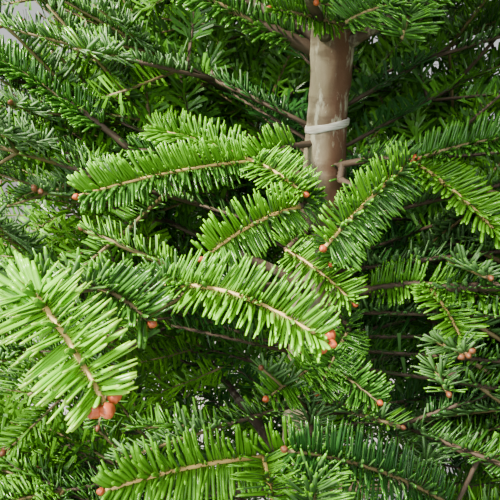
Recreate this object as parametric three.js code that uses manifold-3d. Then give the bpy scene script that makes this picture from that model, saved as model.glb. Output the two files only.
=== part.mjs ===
// A whole cut fir for Christmas on a plain wooden cross stand.
// Units are millimetres, +Z is up, and the origin is at the middle of the stand's underside.

import * as THREE from "three";
import { mergeVertices } from "three/addons/utils/BufferGeometryUtils.js";
import Module from "manifold-3d";

const wasm = await Module();
wasm.setup();

// Clearance between neighbouring pieces, and the seed of the branching rule.
const GAP = 0.3;
const SEED = 4.0;

// Stand: two half-lapped beams and four braces round the foot of the trunk.
const BEAM_LENGTH = 600;
const BEAM_WIDTH = 70;
const BEAM_HEIGHT = 45;
const BEAM_CHAMFER = 12;
const BRACE_REACH = 105;
const BRACE_HEIGHT = 130;
const BRACE_THICKNESS = 28;
const BRACE_TOP = 22;

// Trunk: flat cut on the stand, root flare, taper, a collar at each whorl, and a slight sway.
const TRUNK_FOOT = BEAM_HEIGHT + GAP;
const TRUNK_TIP = 1745;
const TRUNK_TIP_RADIUS = 3.6;
const TRUNK_TAPER_RADIUS = 36;
const TRUNK_TAPER_POWER = 0.85;
const FLARE_RADIUS = 6;
const FLARE_HEIGHT = 55;
const COLLAR_SWELL = 0.1;
const COLLAR_HEIGHT = 16;
const TRUNK_SIDES = 12;
const TRUNK_RINGS = 24;
const LEAN = 8;
const SWAY = 4;
const SWAY_LENGTH = 900;

// Crown: a cone of boughs in yearly whorls. Turns and angles are in degrees.
const CROWN_TOP = 2000;
const CROWN_SLOPE = 0.395;
const CROWN_UNEVEN = 0.06;
const LOWEST_WHORL = 420;
const RISE_AT_FOOT = 9;
const RISE_AT_TOP = 40;
const BEND_AT_FOOT = -0.07;
const BEND_AT_TOP = 0.03;
const WHORLS = [
  { name: "whorl_1", height: 420, boughs: 5, turn: 18, years: 5, limb: true },
  { name: "whorl_2", height: 680, boughs: 5, turn: 54, years: 5, limb: true },
  { name: "whorl_3", height: 940, boughs: 5, turn: 21.3, years: 5, limb: true },
  { name: "whorl_4", height: 1180, boughs: 4, turn: 60, years: 4, limb: true },
  { name: "whorl_5", height: 1400, boughs: 4, turn: 15, years: 3, limb: false },
  { name: "whorl_6", height: 1590, boughs: 3, turn: 50, years: 2, limb: false },
];
const BETWEEN_REACH = 0.66;
const BETWEENS = [
  { name: "between_1", height: 552, boughs: 2, turn: 88, years: 3 },
  { name: "between_2", height: 838, boughs: 2, turn: 82, years: 3 },
  { name: "between_3", height: 1066, boughs: 2, turn: 107, years: 3 },
];
const BETWEEN_HALF_TURN = 62;

// Boughs: each one tapering limb, bare from the trunk to where its foliage begins.
const BOUGH_ROOT_SINK = 6;
const BOUGH_SIDES = 7;
const BOUGH_RINGS = 3;
const BOUGH_ROOT_RADIUS = 0.016;
const BOUGH_LEAST_RADIUS = 4.2;
const BARE_SHARE = 0.3;
const BOUGH_TAPER = 0.62;
const STEM_SIDES = 4;
const STEM_TIP_RADIUS = 1.6;

// Twigs leave the stem in pairs at each year's joint and lie flat in the bough's fan.
const SIDE_ANGLE = 52;
const SIDE_ANGLE_SPREAD = 8;
const SIDE_SHARE = 0.66;
const SIDE_SHARE_SPREAD = 0.16;
const SIDE_LIFT = 0.06;
const SIDE_LIFT_SPREAD = 0.26;
const FORWARD_BEND = 0.14;
const TWIG_ROOT_RADIUS = 2.8;
const TWIG_TIP_RADIUS = 1.4;
const TWIG_SIDES = 3;
const SIDE_LEAST = 0.1;
const LEAST_TWIG = 40;
const TWIG_TRIM = 0.8;
const JOINT_CLEAR = 0.02;

// Sprays of needles: one toothed blade along each twig, thick at its rib, its sides a little raised.
const TOOTH_SPACING = 50;
const LEAST_TEETH = 2;
const SPRAY_HALF_WIDTH = 32;
const SPRAY_VALLEY = 0.48;
const SPRAY_ROOT_THICKNESS = 17;
const SPRAY_TIP_THICKNESS = 11;
const SPRAY_RISE = 17;
const TOOTH_LEAN = 16;
const NEEDLE_PAST_TIP = 14;
const RIB_SPACING = 120;
const RIB_START = 0.1;
const RIB_END = 0.86;
const BARE_TWIG_FROM = 140;
const BARE_TWIG_SHARE = 0.14;
const BARE_TWIG_LEAST = 0.01;

// Space of a mass: a sector between two cones, so that no two masses meet.
const SECTOR_CLEAR = 3;
const FAN_HALF_DEPTH = 66;
const BETWEEN_HALF_DEPTH = 48;
const DEPTH_AT_TOP = 0.8;
const TRUNK_CLEAR = 3;

// Leader: the youngest shoot of the trunk, with a ring of side shoots at its foot.
const LEADER_SHOOTS = 5;
const LEADER_RING = 26;
const LEADER_SHOOT_LENGTH = 128;
const LEADER_SHOOT_RISE = 42;
const LEADER_RADIUS = 3.6;
const LEADER_BLADES = 2;

// Tie: a pale band round the trunk.
const TIE_HEIGHT = 1112;
const TIE_WIDTH = 7;
const TIE_THICKNESS = 1.6;
const TIE_SIDES = 16;

const finish = (color, roughness) => new THREE.MeshStandardMaterial({ color, roughness, metalness: 0 });
const BARK = finish(0x6f5f50, 0.85);
const BOUGH_BARK = finish(0x5a4a38, 0.85);
const TIMBER = finish(0xc9a678, 0.7);
const NEEDLES = finish(0x3f6b2c, 0.55);
const YOUNG_NEEDLES = finish(0x5d8a37, 0.55);
const TIE = finish(0xd8d6cf, 0.6);

const tree = new THREE.Group();

// A number from 0 to 1 that depends only on the two counters and the seed.
function chance(first, second) {
  const wave = Math.sin(first * 12.9898 + second * 78.233 + SEED) * 43758.5453;
  return wave - Math.floor(wave);
}

// The same, spread evenly from -1 to 1.
function swing(first, second) {
  return 2 * chance(first, second) - 1;
}

const radians = THREE.MathUtils.degToRad;
const blend = THREE.MathUtils.lerp;

// Geometry to solid and back. Only position is kept, so shared corners become one.
function solidOf(geometry) {
  const bare = new THREE.BufferGeometry();
  bare.setAttribute("position", geometry.attributes.position);
  bare.setIndex(geometry.index);
  const merged = mergeVertices(bare, 1e-4);
  const mesh = new wasm.Mesh({
    numProp: 3,
    vertProperties: new Float32Array(merged.attributes.position.array),
    triVerts: new Uint32Array(merged.index.array),
  });
  return new wasm.Manifold(mesh);
}

function geometryOf(solid) {
  const mesh = solid.getMesh();
  const geometry = new THREE.BufferGeometry();
  geometry.setAttribute("position", new THREE.BufferAttribute(mesh.vertProperties, 3));
  geometry.setIndex(new THREE.BufferAttribute(mesh.triVerts, 1));
  return geometry;
}

function add(name, geometry, material) {
  const mesh = new THREE.Mesh(geometry, material);
  mesh.name = name;
  tree.add(mesh);
  return mesh;
}

// Joins solids into one. Only the largest shell is kept: a loose scrap goes, a sealed hollow fills.
function fuse(solids) {
  const joined = solids.slice(1).reduce((whole, piece) => whole.add(piece), solids[0]);
  const shells = joined.decompose();
  return shells.reduce((largest, shell) => (shell.volume() > largest.volume() ? shell : largest));
}

// A tapering limb: a regular section of unit radius carried along a path from 0 to 1. Its rings
// stand square to the path, or all face one given way.
function limb(pathAt, radiusAt, sides, rings, sideways, facing = null) {
  const section = new THREE.Shape();
  for (let corner = 0; corner < sides; corner += 1) {
    const angle = (2 * Math.PI * corner) / sides;
    section[corner === 0 ? "moveTo" : "lineTo"](Math.cos(angle), Math.sin(angle));
  }
  const shape = new THREE.ExtrudeGeometry(section, { depth: 1, steps: rings, bevelEnabled: false });
  const spots = shape.attributes.position;
  for (let i = 0; i < spots.count; i += 1) {
    const share = spots.getZ(i);
    const tangent = facing ?? pathAt(share + 1e-3).sub(pathAt(share - 1e-3)).normalize();
    const across = sideways.clone().addScaledVector(tangent, -sideways.dot(tangent)).normalize();
    const upward = new THREE.Vector3().crossVectors(tangent, across);
    const radius = radiusAt(share);
    const spot = pathAt(share);
    spot.addScaledVector(across, spots.getX(i) * radius);
    spot.addScaledVector(upward, spots.getY(i) * radius);
    spots.setXYZ(i, spot.x, spot.y, spot.z);
  }
  return shape;
}

// Trunk.
function trunkRadius(height) {
  const share = Math.max(TRUNK_TIP - height, 0) / (TRUNK_TIP - TRUNK_FOOT);
  const taper = TRUNK_TIP_RADIUS + TRUNK_TAPER_RADIUS * share ** TRUNK_TAPER_POWER;
  const flare = FLARE_RADIUS * Math.exp(-(height - TRUNK_FOOT) / FLARE_HEIGHT);
  const swell = WHORLS.reduce(
    (sum, whorl) => sum + Math.exp(-(((height - whorl.height) / COLLAR_HEIGHT) ** 2)),
    0,
  );
  return (taper + flare) * (1 + COLLAR_SWELL * swell);
}

function trunkCentre(height) {
  const share = (height - TRUNK_FOOT) / (TRUNK_TIP - TRUNK_FOOT);
  const swayed = SWAY * Math.sin((2 * Math.PI * (height - TRUNK_FOOT)) / SWAY_LENGTH);
  return new THREE.Vector3(LEAN * share * share + swayed, -swayed * 0.6, height);
}

// Rings crowd at the collars: each even share is drawn a little towards the nearest one.
function ringHeight(share) {
  const even = blend(TRUNK_FOOT, TRUNK_TIP, share);
  const pull = WHORLS.reduce((sum, whorl) => {
    const away = (whorl.height - even) / 60;
    return sum + away * Math.exp(-away * away);
  }, 0);
  return share <= 0 || share >= 1 ? even : even + 26 * pull;
}

function trunkShape(grown) {
  return limb(
    (share) => trunkCentre(ringHeight(share)),
    (share) => trunkRadius(ringHeight(share)) + grown,
    TRUNK_SIDES,
    TRUNK_RINGS,
    new THREE.Vector3(1, 0, 0),
    new THREE.Vector3(0, 0, 1),
  );
}

// Boughs of one ring: heading, height, reach, rise and bend come from the crown's cone.
function planRing(ring, index, between) {
  const plans = [];
  for (let i = 0; i < ring.boughs; i += 1) {
    const upCrown = (ring.height - LOWEST_WHORL) / (TRUNK_TIP - LOWEST_WHORL);
    const key = index * 20 + i;
    const sector = radians(ring.turn + (360 * i) / ring.boughs);
    const uneven = 1 + CROWN_UNEVEN * swing(key, 2);
    const reach = (CROWN_TOP - ring.height) * CROWN_SLOPE * uneven * (between ? BETWEEN_REACH : 1);
    plans.push({
      name: `${ring.name}_${String.fromCharCode(97 + i)}`,
      key,
      sector,
      halfTurn: radians(between ? BETWEEN_HALF_TURN : 180 / ring.boughs),
      heading: sector + radians(5 * swing(key, 1)),
      height: ring.height + (between ? 10 : 7) * swing(key, 3),
      reach,
      rise: Math.tan(radians(blend(RISE_AT_FOOT, RISE_AT_TOP, upCrown ** 1.15))),
      bend: blend(BEND_AT_FOOT, BEND_AT_TOP, upCrown),
      years: ring.years,
      bare: ring.limb ? BARE_SHARE : 0,
      rootRadius: Math.max(reach * BOUGH_ROOT_RADIUS, BOUGH_LEAST_RADIUS),
      halfDepth: (between ? BETWEEN_HALF_DEPTH : FAN_HALF_DEPTH) * blend(1, DEPTH_AT_TOP, upCrown),
    });
  }
  return plans;
}

// The fan's height over the trunk at a distance from the trunk's middle.
function fanLevel(plan, distance) {
  return plan.height + plan.rise * distance + (plan.bend * distance * distance) / plan.reach;
}

// Point on a bough's middle line, at a share of its reach.
function boughPoint(plan, share) {
  const centre = trunkCentre(plan.height);
  const distance = share * plan.reach;
  return new THREE.Vector3(
    centre.x + Math.cos(plan.heading) * distance,
    centre.y + Math.sin(plan.heading) * distance,
    fanLevel(plan, distance),
  );
}

function boughRadius(plan, share) {
  return blend(plan.rootRadius, STEM_TIP_RADIUS, Math.max(share, 0) ** BOUGH_TAPER);
}

function boughTangent(plan, share) {
  return boughPoint(plan, share + 0.01).sub(boughPoint(plan, share - 0.01)).normalize();
}

function boughSide(plan) {
  return new THREE.Vector3(-Math.sin(plan.heading), Math.cos(plan.heading), 0);
}

// Share of the reach at which a limb's root is sunk into the trunk before it is cut clear.
function rootShare(plan) {
  return (trunkRadius(plan.height) - BOUGH_ROOT_SINK) / plan.reach;
}

function boughSolid(plan, from, to, sides, rings) {
  return solidOf(
    limb(
      (share) => boughPoint(plan, blend(from, to, share)),
      (share) => boughRadius(plan, blend(from, to, share)),
      sides,
      rings,
      boughSide(plan),
    ),
  );
}

// True where a point lies in the space of a mass and clear of the trunk.
function inSpace(plan, point) {
  const centre = trunkCentre(point.z);
  const distance = Math.hypot(point.x - centre.x, point.y - centre.y);
  const turned = Math.atan2(point.y - centre.y, point.x - centre.x) - plan.sector;
  const turn = Math.abs(Math.atan2(Math.sin(turned), Math.cos(turned)));
  const level = point.z - fanLevel(plan, distance);
  return (
    distance > trunkRadius(point.z) + TRUNK_CLEAR &&
    distance < plan.reach * 1.08 + NEEDLE_PAST_TIP &&
    (plan.halfTurn - turn) * distance > SECTOR_CLEAR &&
    level > -plan.halfDepth &&
    level < plan.halfDepth
  );
}

// A spray follows its twig's path. Its outline of forward teeth is drawn to the corners of a
// rib, so every face holds a corner of the rib and the blade thins evenly towards its teeth.
function sprayShape(pathAt, length, halfWidth, fanUp) {
  const teeth = Math.max(LEAST_TEETH, Math.round(length / TOOTH_SPACING));
  const edge = [[0, 0]];
  for (let tooth = 0; tooth < teeth; tooth += 1) {
    const reach = halfWidth * (1 - 0.4 * ((tooth + 0.5) / teeth) ** 3);
    edge.push([reach * SPRAY_VALLEY, (length * (tooth + 0.3)) / teeth]);
    edge.push([reach, (length * (tooth + 0.8)) / teeth + TOOTH_LEAN]);
  }
  edge.push([0, length + NEEDLE_PAST_TIP]);
  const ribs = Math.max(2, Math.round(length / RIB_SPACING) + 1);
  const ribAt = (rib) => blend(RIB_START, RIB_END, rib / (ribs - 1));
  const nearestRib = (along) => {
    const share = (along / length - RIB_START) / (RIB_END - RIB_START);
    return THREE.MathUtils.clamp(Math.round(share * (ribs - 1)), 0, ribs - 1);
  };
  const last = edge.length - 1;
  const spots = edge.map(([x, y]) => [x, y, SPRAY_RISE * (x / halfWidth) ** 1.5]);
  spots.push(...spots.slice(1, last).map(([x, y, z]) => [-x, y, z]));
  const ribStart = spots.length;
  for (const level of [0.5, -0.5]) {
    for (let rib = 0; rib < ribs; rib += 1) {
      const thickness = blend(SPRAY_ROOT_THICKNESS, SPRAY_TIP_THICKNESS, rib / (ribs - 1));
      spots.push([0, ribAt(rib) * length, level * thickness]);
    }
  }
  const faces = [];
  for (const hand of [1, -1]) {
    const corner = (i) => (hand > 0 || i === 0 || i === last ? i : last + i);
    const face = (a, b, c) => faces.push(hand > 0 ? [a, b, c] : [a, c, b]);
    let rib = 0;
    for (let i = 0; i < last; i += 1) {
      const wanted = nearestRib((edge[i][1] + edge[i + 1][1]) / 2);
      while (rib < wanted) {
        face(corner(i), ribStart + rib + 1, ribStart + rib);
        face(corner(i), ribStart + ribs + rib, ribStart + ribs + rib + 1);
        rib += 1;
      }
      face(corner(i), corner(i + 1), ribStart + rib);
      face(corner(i + 1), corner(i), ribStart + ribs + rib);
    }
  }
  const geometry = new THREE.BufferGeometry();
  const placed = spots.flatMap(([x, y, z]) => {
    const share = y / length;
    const along = pathAt(share + 1e-3).sub(pathAt(share - 1e-3)).normalize();
    const across = new THREE.Vector3().crossVectors(along, fanUp).normalize();
    const up = new THREE.Vector3().crossVectors(across, along);
    const spot = pathAt(share).addScaledVector(across, x).addScaledVector(up, z);
    return [spot.x, spot.y, spot.z];
  });
  geometry.setAttribute("position", new THREE.Float32BufferAttribute(placed, 3));
  geometry.setIndex(faces.flat());
  return geometry;
}

function allInSpace(plan, geometry) {
  const spots = geometry.attributes.position;
  const spot = new THREE.Vector3();
  for (let i = 0; i < spots.count; i += 1) {
    if (!inSpace(plan, spot.fromBufferAttribute(spots, i))) {
      return false;
    }
  }
  return true;
}

// One mass: the stem, its own spray, and pairs of side twigs with their sprays at each joint.
function massSolid(plan, trunkGrown) {
  const side = boughSide(plan);
  const from = plan.bare > 0 ? plan.bare + GAP / plan.reach : rootShare(plan);
  const first = (plan.bare > 0 ? 0 : trunkRadius(plan.height) / plan.reach) + plan.bare + 0.06;
  const stem = boughSolid(plan, from, blend(first, 1, 0.3), STEM_SIDES, 2);
  const pieces = [plan.bare > 0 ? stem : stem.subtract(trunkGrown)];
  const stemPath = (share) => boughPoint(plan, blend(first, 1, share));
  const stemUp = new THREE.Vector3().crossVectors(boughTangent(plan, 0.6), side);
  const stemLength = (1 - first) * plan.reach * Math.hypot(1, plan.rise);
  pieces.push(solidOf(sprayShape(stemPath, stemLength, SPRAY_HALF_WIDTH, stemUp)));
  for (let joint = 1; joint < plan.years; joint += 1) {
    for (const hand of [-1, 1]) {
      pieces.push(...twigPieces(plan, joint, hand, first, side));
    }
  }
  return fuse(pieces);
}

// A side twig and its spray, cut shorter or left out where they would leave the mass's space.
function twigPieces(plan, joint, hand, first, side) {
  const share = joint / plan.years;
  const key = plan.key * 10 + joint;
  const angle = radians(SIDE_ANGLE + SIDE_ANGLE_SPREAD * swing(key, hand + 5));
  const portion = SIDE_SHARE * (1 + SIDE_SHARE_SPREAD * swing(key, hand + 8));
  const whole = (portion * (1 - share) + SIDE_LEAST) * plan.reach;
  if (share < first + JOINT_CLEAR) {
    return [];
  }
  const tangent = boughTangent(plan, share);
  const up = new THREE.Vector3().crossVectors(tangent, side);
  const root = boughPoint(plan, share);
  const away = tangent.clone().multiplyScalar(Math.cos(angle));
  away.addScaledVector(side, hand * Math.sin(angle));
  away.addScaledVector(up, SIDE_LIFT + SIDE_LIFT_SPREAD * swing(key, hand + 11));
  for (let length = whole; length > LEAST_TWIG; length *= TWIG_TRIM) {
    const twigPath = (t) => {
      const spot = root.clone().addScaledVector(away, length * t);
      return spot.addScaledVector(tangent, length * FORWARD_BEND * t * t);
    };
    const bare = length > BARE_TWIG_FROM ? BARE_TWIG_SHARE : BARE_TWIG_LEAST;
    const sprayPath = (t) => twigPath(blend(bare, 1, t));
    const spray = sprayShape(sprayPath, length * (1 - bare), SPRAY_HALF_WIDTH, up);
    if (allInSpace(plan, spray)) {
      const radiusAt = (t) => blend(TWIG_ROOT_RADIUS, TWIG_TIP_RADIUS, t);
      const bareTwig = limb((t) => twigPath(t * 2.2 * bare), radiusAt, TWIG_SIDES, 1, up);
      return length > BARE_TWIG_FROM ? [solidOf(bareTwig), solidOf(spray)] : [solidOf(spray)];
    }
  }
  return [];
}

// The leader stands on the trunk's tip, with crossed blades round it and a ring of side shoots.
function leaderSolid() {
  const foot = trunkCentre(TRUNK_TIP);
  foot.z += GAP;
  const top = new THREE.Vector3(foot.x + 3, foot.y, CROWN_TOP - NEEDLE_PAST_TIP);
  const length = foot.distanceTo(top);
  const stemPath = (share) => foot.clone().lerp(top, share);
  const stemRadius = (share) => blend(LEADER_RADIUS, STEM_TIP_RADIUS, share);
  const pieces = [solidOf(limb((t) => stemPath(0.3 * t), stemRadius, 5, 1, new THREE.Vector3(1, 0, 0)))];
  for (let blade = 0; blade < LEADER_BLADES; blade += 1) {
    const turn = (Math.PI * blade) / LEADER_BLADES;
    const facing = new THREE.Vector3(Math.cos(turn), Math.sin(turn), 0);
    const bladePath = (t) => stemPath(blend(0.16, 1, t));
    pieces.push(solidOf(sprayShape(bladePath, 0.84 * length, SPRAY_HALF_WIDTH * 0.72, facing)));
  }
  for (let i = 0; i < LEADER_SHOOTS; i += 1) {
    const turn = (2 * Math.PI * (i + 0.2 * swing(i, 40))) / LEADER_SHOOTS;
    const rise = radians(LEADER_SHOOT_RISE + 5 * swing(i, 41));
    const reach = LEADER_SHOOT_LENGTH * (1 + 0.12 * swing(i, 42));
    const level = new THREE.Vector3(Math.cos(turn), Math.sin(turn), 0);
    const away = level.clone().multiplyScalar(Math.cos(rise)).setZ(Math.sin(rise));
    const up = level.clone().multiplyScalar(-Math.sin(rise)).setZ(Math.cos(rise));
    const root = stemPath(LEADER_RING / length);
    const twigPath = (t) => root.clone().addScaledVector(away, reach * t);
    pieces.push(solidOf(sprayShape(twigPath, reach, SPRAY_HALF_WIDTH * 0.85, up)));
  }
  return fuse(pieces);
}

// Stand. The beam along X is cut away on top at the crossing, and the beam along Y below.
function beamSolid(notchAtTop) {
  const ends = new THREE.Shape();
  const half = BEAM_LENGTH / 2;
  const middle = BEAM_HEIGHT / 2 + (notchAtTop ? -GAP / 2 : GAP / 2);
  const notch = BEAM_WIDTH / 2 + GAP;
  ends.moveTo(-half, 0);
  if (!notchAtTop) {
    ends.lineTo(-notch, 0);
    ends.lineTo(-notch, middle);
    ends.lineTo(notch, middle);
    ends.lineTo(notch, 0);
  }
  ends.lineTo(half, 0);
  ends.lineTo(half, BEAM_HEIGHT - BEAM_CHAMFER);
  ends.lineTo(half - BEAM_CHAMFER, BEAM_HEIGHT);
  if (notchAtTop) {
    ends.lineTo(notch, BEAM_HEIGHT);
    ends.lineTo(notch, middle);
    ends.lineTo(-notch, middle);
    ends.lineTo(-notch, BEAM_HEIGHT);
  }
  ends.lineTo(-half + BEAM_CHAMFER, BEAM_HEIGHT);
  ends.lineTo(-half, BEAM_HEIGHT - BEAM_CHAMFER);
  const shape = new THREE.ExtrudeGeometry(ends, { depth: BEAM_WIDTH, bevelEnabled: false });
  shape.translate(0, 0, -BEAM_WIDTH / 2);
  shape.rotateX(Math.PI / 2);
  return shape;
}

function braceSolid(turn, trunkGrown) {
  const inner = 10;
  const outer = trunkRadius(TRUNK_FOOT) + BRACE_REACH;
  const foot = BEAM_HEIGHT + GAP;
  const profile = new THREE.Shape();
  profile.moveTo(inner, foot);
  profile.lineTo(outer, foot);
  profile.lineTo(outer, foot + BRACE_TOP);
  profile.lineTo(trunkRadius(foot + BRACE_HEIGHT) + BRACE_TOP, foot + BRACE_HEIGHT);
  profile.lineTo(inner, foot + BRACE_HEIGHT);
  const shape = new THREE.ExtrudeGeometry(profile, { depth: BRACE_THICKNESS, bevelEnabled: false });
  shape.translate(0, 0, -BRACE_THICKNESS / 2);
  shape.rotateX(Math.PI / 2);
  shape.rotateZ(turn);
  const pieces = solidOf(shape).subtract(trunkGrown).decompose();
  return pieces.reduce((outermost, piece) => (reachOf(piece) > reachOf(outermost) ? piece : outermost));
}

function reachOf(solid) {
  const box = solid.boundingBox();
  return Math.max(...box.max.slice(0, 2), ...box.min.slice(0, 2).map((low) => -low));
}

// Tie: a flat ring on the trunk.
function tieShape() {
  const inner = trunkRadius(TIE_HEIGHT) - TIE_THICKNESS;
  const outer = trunkRadius(TIE_HEIGHT) + TIE_THICKNESS + GAP;
  const profile = [
    new THREE.Vector2(inner, -TIE_WIDTH / 2),
    new THREE.Vector2(outer, -TIE_WIDTH / 2),
    new THREE.Vector2(outer, TIE_WIDTH / 2),
    new THREE.Vector2(inner, TIE_WIDTH / 2),
    new THREE.Vector2(inner, -TIE_WIDTH / 2),
  ];
  const ring = new THREE.LatheGeometry(profile, TIE_SIDES);
  ring.rotateX(Math.PI / 2);
  const centre = trunkCentre(TIE_HEIGHT);
  ring.translate(centre.x, centre.y, centre.z);
  return ring;
}

const trunkGrown = solidOf(trunkShape(GAP));
add("trunk", geometryOf(solidOf(trunkShape(0))), BARK);
add("trunk_tie", geometryOf(solidOf(tieShape()).subtract(trunkGrown)), TIE);

const beamX = add("stand_beam_x", beamSolid(true), TIMBER);
const beamY = add("stand_beam_y", beamSolid(false), TIMBER);
beamX.rotation.z = 0;
beamY.rotation.z = Math.PI / 2;
for (let i = 0; i < 4; i += 1) {
  add(`stand_brace_${i + 1}`, geometryOf(braceSolid((Math.PI * i) / 2, trunkGrown)), TIMBER);
}

const plans = [
  ...WHORLS.flatMap((ring, index) => planRing(ring, index, false)),
  ...BETWEENS.flatMap((ring, index) => planRing(ring, index + 10, true)),
];
for (const plan of plans) {
  if (plan.bare > 0) {
    const bough = boughSolid(plan, rootShare(plan), plan.bare, BOUGH_SIDES, BOUGH_RINGS);
    add(`bough_${plan.name}`, geometryOf(bough.subtract(trunkGrown)), BOUGH_BARK);
  }
  const young = plan.years < 4;
  add(`foliage_${plan.name}`, geometryOf(massSolid(plan, trunkGrown)), young ? YOUNG_NEEDLES : NEEDLES);
}
add("foliage_leader", geometryOf(leaderSolid()), YOUNG_NEEDLES);

export default tree;
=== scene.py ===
"""A whole cut fir for Christmas on a plain wooden cross stand.

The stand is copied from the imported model. Trunk, boughs and crown are grown again by the model's
own seeded rule, carried to finer twigs, and each twig bears its needles and buds.
"""

import math
from functools import lru_cache
from typing import NamedTuple

import bmesh
import bpy
import numpy as np
from bpy.props import FloatProperty, FloatVectorProperty, PointerProperty
from bpy.types import Operator, Panel, PropertyGroup
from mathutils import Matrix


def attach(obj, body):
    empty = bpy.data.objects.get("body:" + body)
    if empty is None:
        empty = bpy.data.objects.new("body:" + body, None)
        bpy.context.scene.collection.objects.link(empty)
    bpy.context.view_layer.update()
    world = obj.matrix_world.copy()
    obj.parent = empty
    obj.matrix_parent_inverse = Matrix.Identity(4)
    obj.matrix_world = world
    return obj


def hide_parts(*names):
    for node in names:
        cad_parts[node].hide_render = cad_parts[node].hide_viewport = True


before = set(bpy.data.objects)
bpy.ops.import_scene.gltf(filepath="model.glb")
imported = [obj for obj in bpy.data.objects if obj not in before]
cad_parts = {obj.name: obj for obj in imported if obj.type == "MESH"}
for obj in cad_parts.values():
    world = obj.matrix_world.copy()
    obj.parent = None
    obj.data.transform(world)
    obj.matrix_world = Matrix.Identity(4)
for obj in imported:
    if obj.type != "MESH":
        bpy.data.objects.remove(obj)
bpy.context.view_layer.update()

bl_info = {
    "name": "Cut fir on a cross stand",
    "version": (1, 0, 0),
    "blender": (4, 5, 0),
    "location": "View3D > Sidebar > Fir",
    "description": "Builds a whole cut fir with bark, twigs, needles and buds round its packed frame",
    "category": "Add Mesh",
}

BODY = "root"

# The branching rule's own sizes, in metres and degrees, as in the part's source.
SEED = 4.0
TRUNK_FOOT = 0.0453
TRUNK_TIP = 1.745
TRUNK_TIP_RADIUS = 0.0036
TRUNK_TAPER_RADIUS = 0.036
TRUNK_TAPER_POWER = 0.85
FLARE_RADIUS = 0.006
FLARE_HEIGHT = 0.055
COLLAR_SWELL = 0.1
COLLAR_HEIGHT = 0.016
LEAN = 0.008
SWAY = 0.004
SWAY_LENGTH = 0.9
SWAY_ACROSS = 0.6
CROWN_TOP = 2.0
CROWN_SLOPE = 0.395
CROWN_UNEVEN = 0.06
LOWEST_WHORL = 0.42
HEADING_SPREAD = 5
HEIGHT_SPREAD = 0.007
RISE_AT_FOOT = 9
RISE_AT_TOP = 40
RISE_POWER = 1.15
BEND_AT_FOOT = -0.07
BEND_AT_TOP = 0.03
BETWEEN_REACH = 0.66
BETWEEN_HALF_TURN = 62
BETWEEN_HEIGHT_SPREAD = 0.010
BARE_SHARE = 0.3
BOUGH_ROOT_RADIUS = 0.016
BOUGH_LEAST_RADIUS = 0.0042
BOUGH_TAPER = 0.62
STEM_TIP_RADIUS = 0.0016
SIDE_ANGLE = 52
SIDE_ANGLE_SPREAD = 8
SIDE_SHARE = 0.66
SIDE_SHARE_SPREAD = 0.16
SIDE_LEAST = 0.1
SIDE_LIFT = 0.06
SIDE_LIFT_SPREAD = 0.26
FORWARD_BEND = 0.14
LEAST_TWIG = 0.04
TWIG_TRIM = 0.8
JOINT_CLEAR = 0.02
FAN_HALF_DEPTH = 0.066
BETWEEN_HALF_DEPTH = 0.048
DEPTH_AT_TOP = 0.8
SECTOR_CLEAR = 0.003
TRUNK_CLEAR = 0.003
REACH_ALLOWED = 1.08
NEEDLE_PAST_TIP = 0.014


class Ring(NamedTuple):
    """Boughs that leave the trunk at one height. A limb is a bough with a bare foot."""

    name: str
    height: float
    boughs: int
    turn: float
    years: int
    limb: bool = False


WHORLS = (
    Ring("whorl_1", height=0.42, boughs=5, turn=18, years=5, limb=True),
    Ring("whorl_2", height=0.68, boughs=5, turn=54, years=5, limb=True),
    Ring("whorl_3", height=0.94, boughs=5, turn=21.3, years=5, limb=True),
    Ring("whorl_4", height=1.18, boughs=4, turn=60, years=4, limb=True),
    Ring("whorl_5", height=1.4, boughs=4, turn=15, years=3),
    Ring("whorl_6", height=1.59, boughs=3, turn=50, years=2),
)
BETWEENS = (
    Ring("between_1", height=0.552, boughs=2, turn=88, years=3),
    Ring("between_2", height=0.838, boughs=2, turn=82, years=3),
    Ring("between_3", height=1.066, boughs=2, turn=107, years=3),
)
# Each ring has keys of its own, so that its boughs draw chances of their own.
KEYS_PER_RING = 20
FIRST_BETWEEN = 10
FIRST_INNER = 30

WAVE_RATE = 12.9898
WAVE_STEP = 78.233
WAVE_SCALE = 43758.5453
NEARLY_NOTHING = 1e-9


def chance(key, draw):
    """A number from 0 to 1 that depends only on a key, the draw's number and the seed.

    It is what follows the point in a large multiple of a sine.
    """
    wave = math.sin(key * WAVE_RATE + draw * WAVE_STEP + SEED) * WAVE_SCALE
    return wave - math.floor(wave)


def swing(key, draw):
    """The same chance, spread evenly from -1 to 1."""
    return 2 * chance(key, draw) - 1


def blend(low, high, share):
    """A straight step from low to high."""
    return low + (high - low) * share


def unit(vectors):
    """Vectors scaled to length one, along the last axis."""
    return vectors / np.maximum(np.linalg.norm(vectors, axis=-1, keepdims=True), NEARLY_NOTHING)


# Trunk and boughs, as functions of height and of a share of the reach.


def trunk_radius(height):
    """Taper by a power of the height left, plus a flare that fades upwards, swollen at each whorl."""
    share = np.maximum(TRUNK_TIP - height, 0) / (TRUNK_TIP - TRUNK_FOOT)
    taper = TRUNK_TIP_RADIUS + TRUNK_TAPER_RADIUS * share**TRUNK_TAPER_POWER
    flare = FLARE_RADIUS * np.exp(-(height - TRUNK_FOOT) / FLARE_HEIGHT)
    swell = sum(np.exp(-(((height - whorl.height) / COLLAR_HEIGHT) ** 2)) for whorl in WHORLS)
    return (taper + flare) * (1 + COLLAR_SWELL * swell)


def trunk_centre(height):
    """The trunk's middle: a lean that grows with the square of the height, and a slight sway."""
    share = (height - TRUNK_FOOT) / (TRUNK_TIP - TRUNK_FOOT)
    swayed = SWAY * np.sin(2 * math.pi * (height - TRUNK_FOOT) / SWAY_LENGTH)
    across = LEAN * share * share + swayed
    return np.stack([across, -swayed * SWAY_ACROSS, height], axis=-1)


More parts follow.
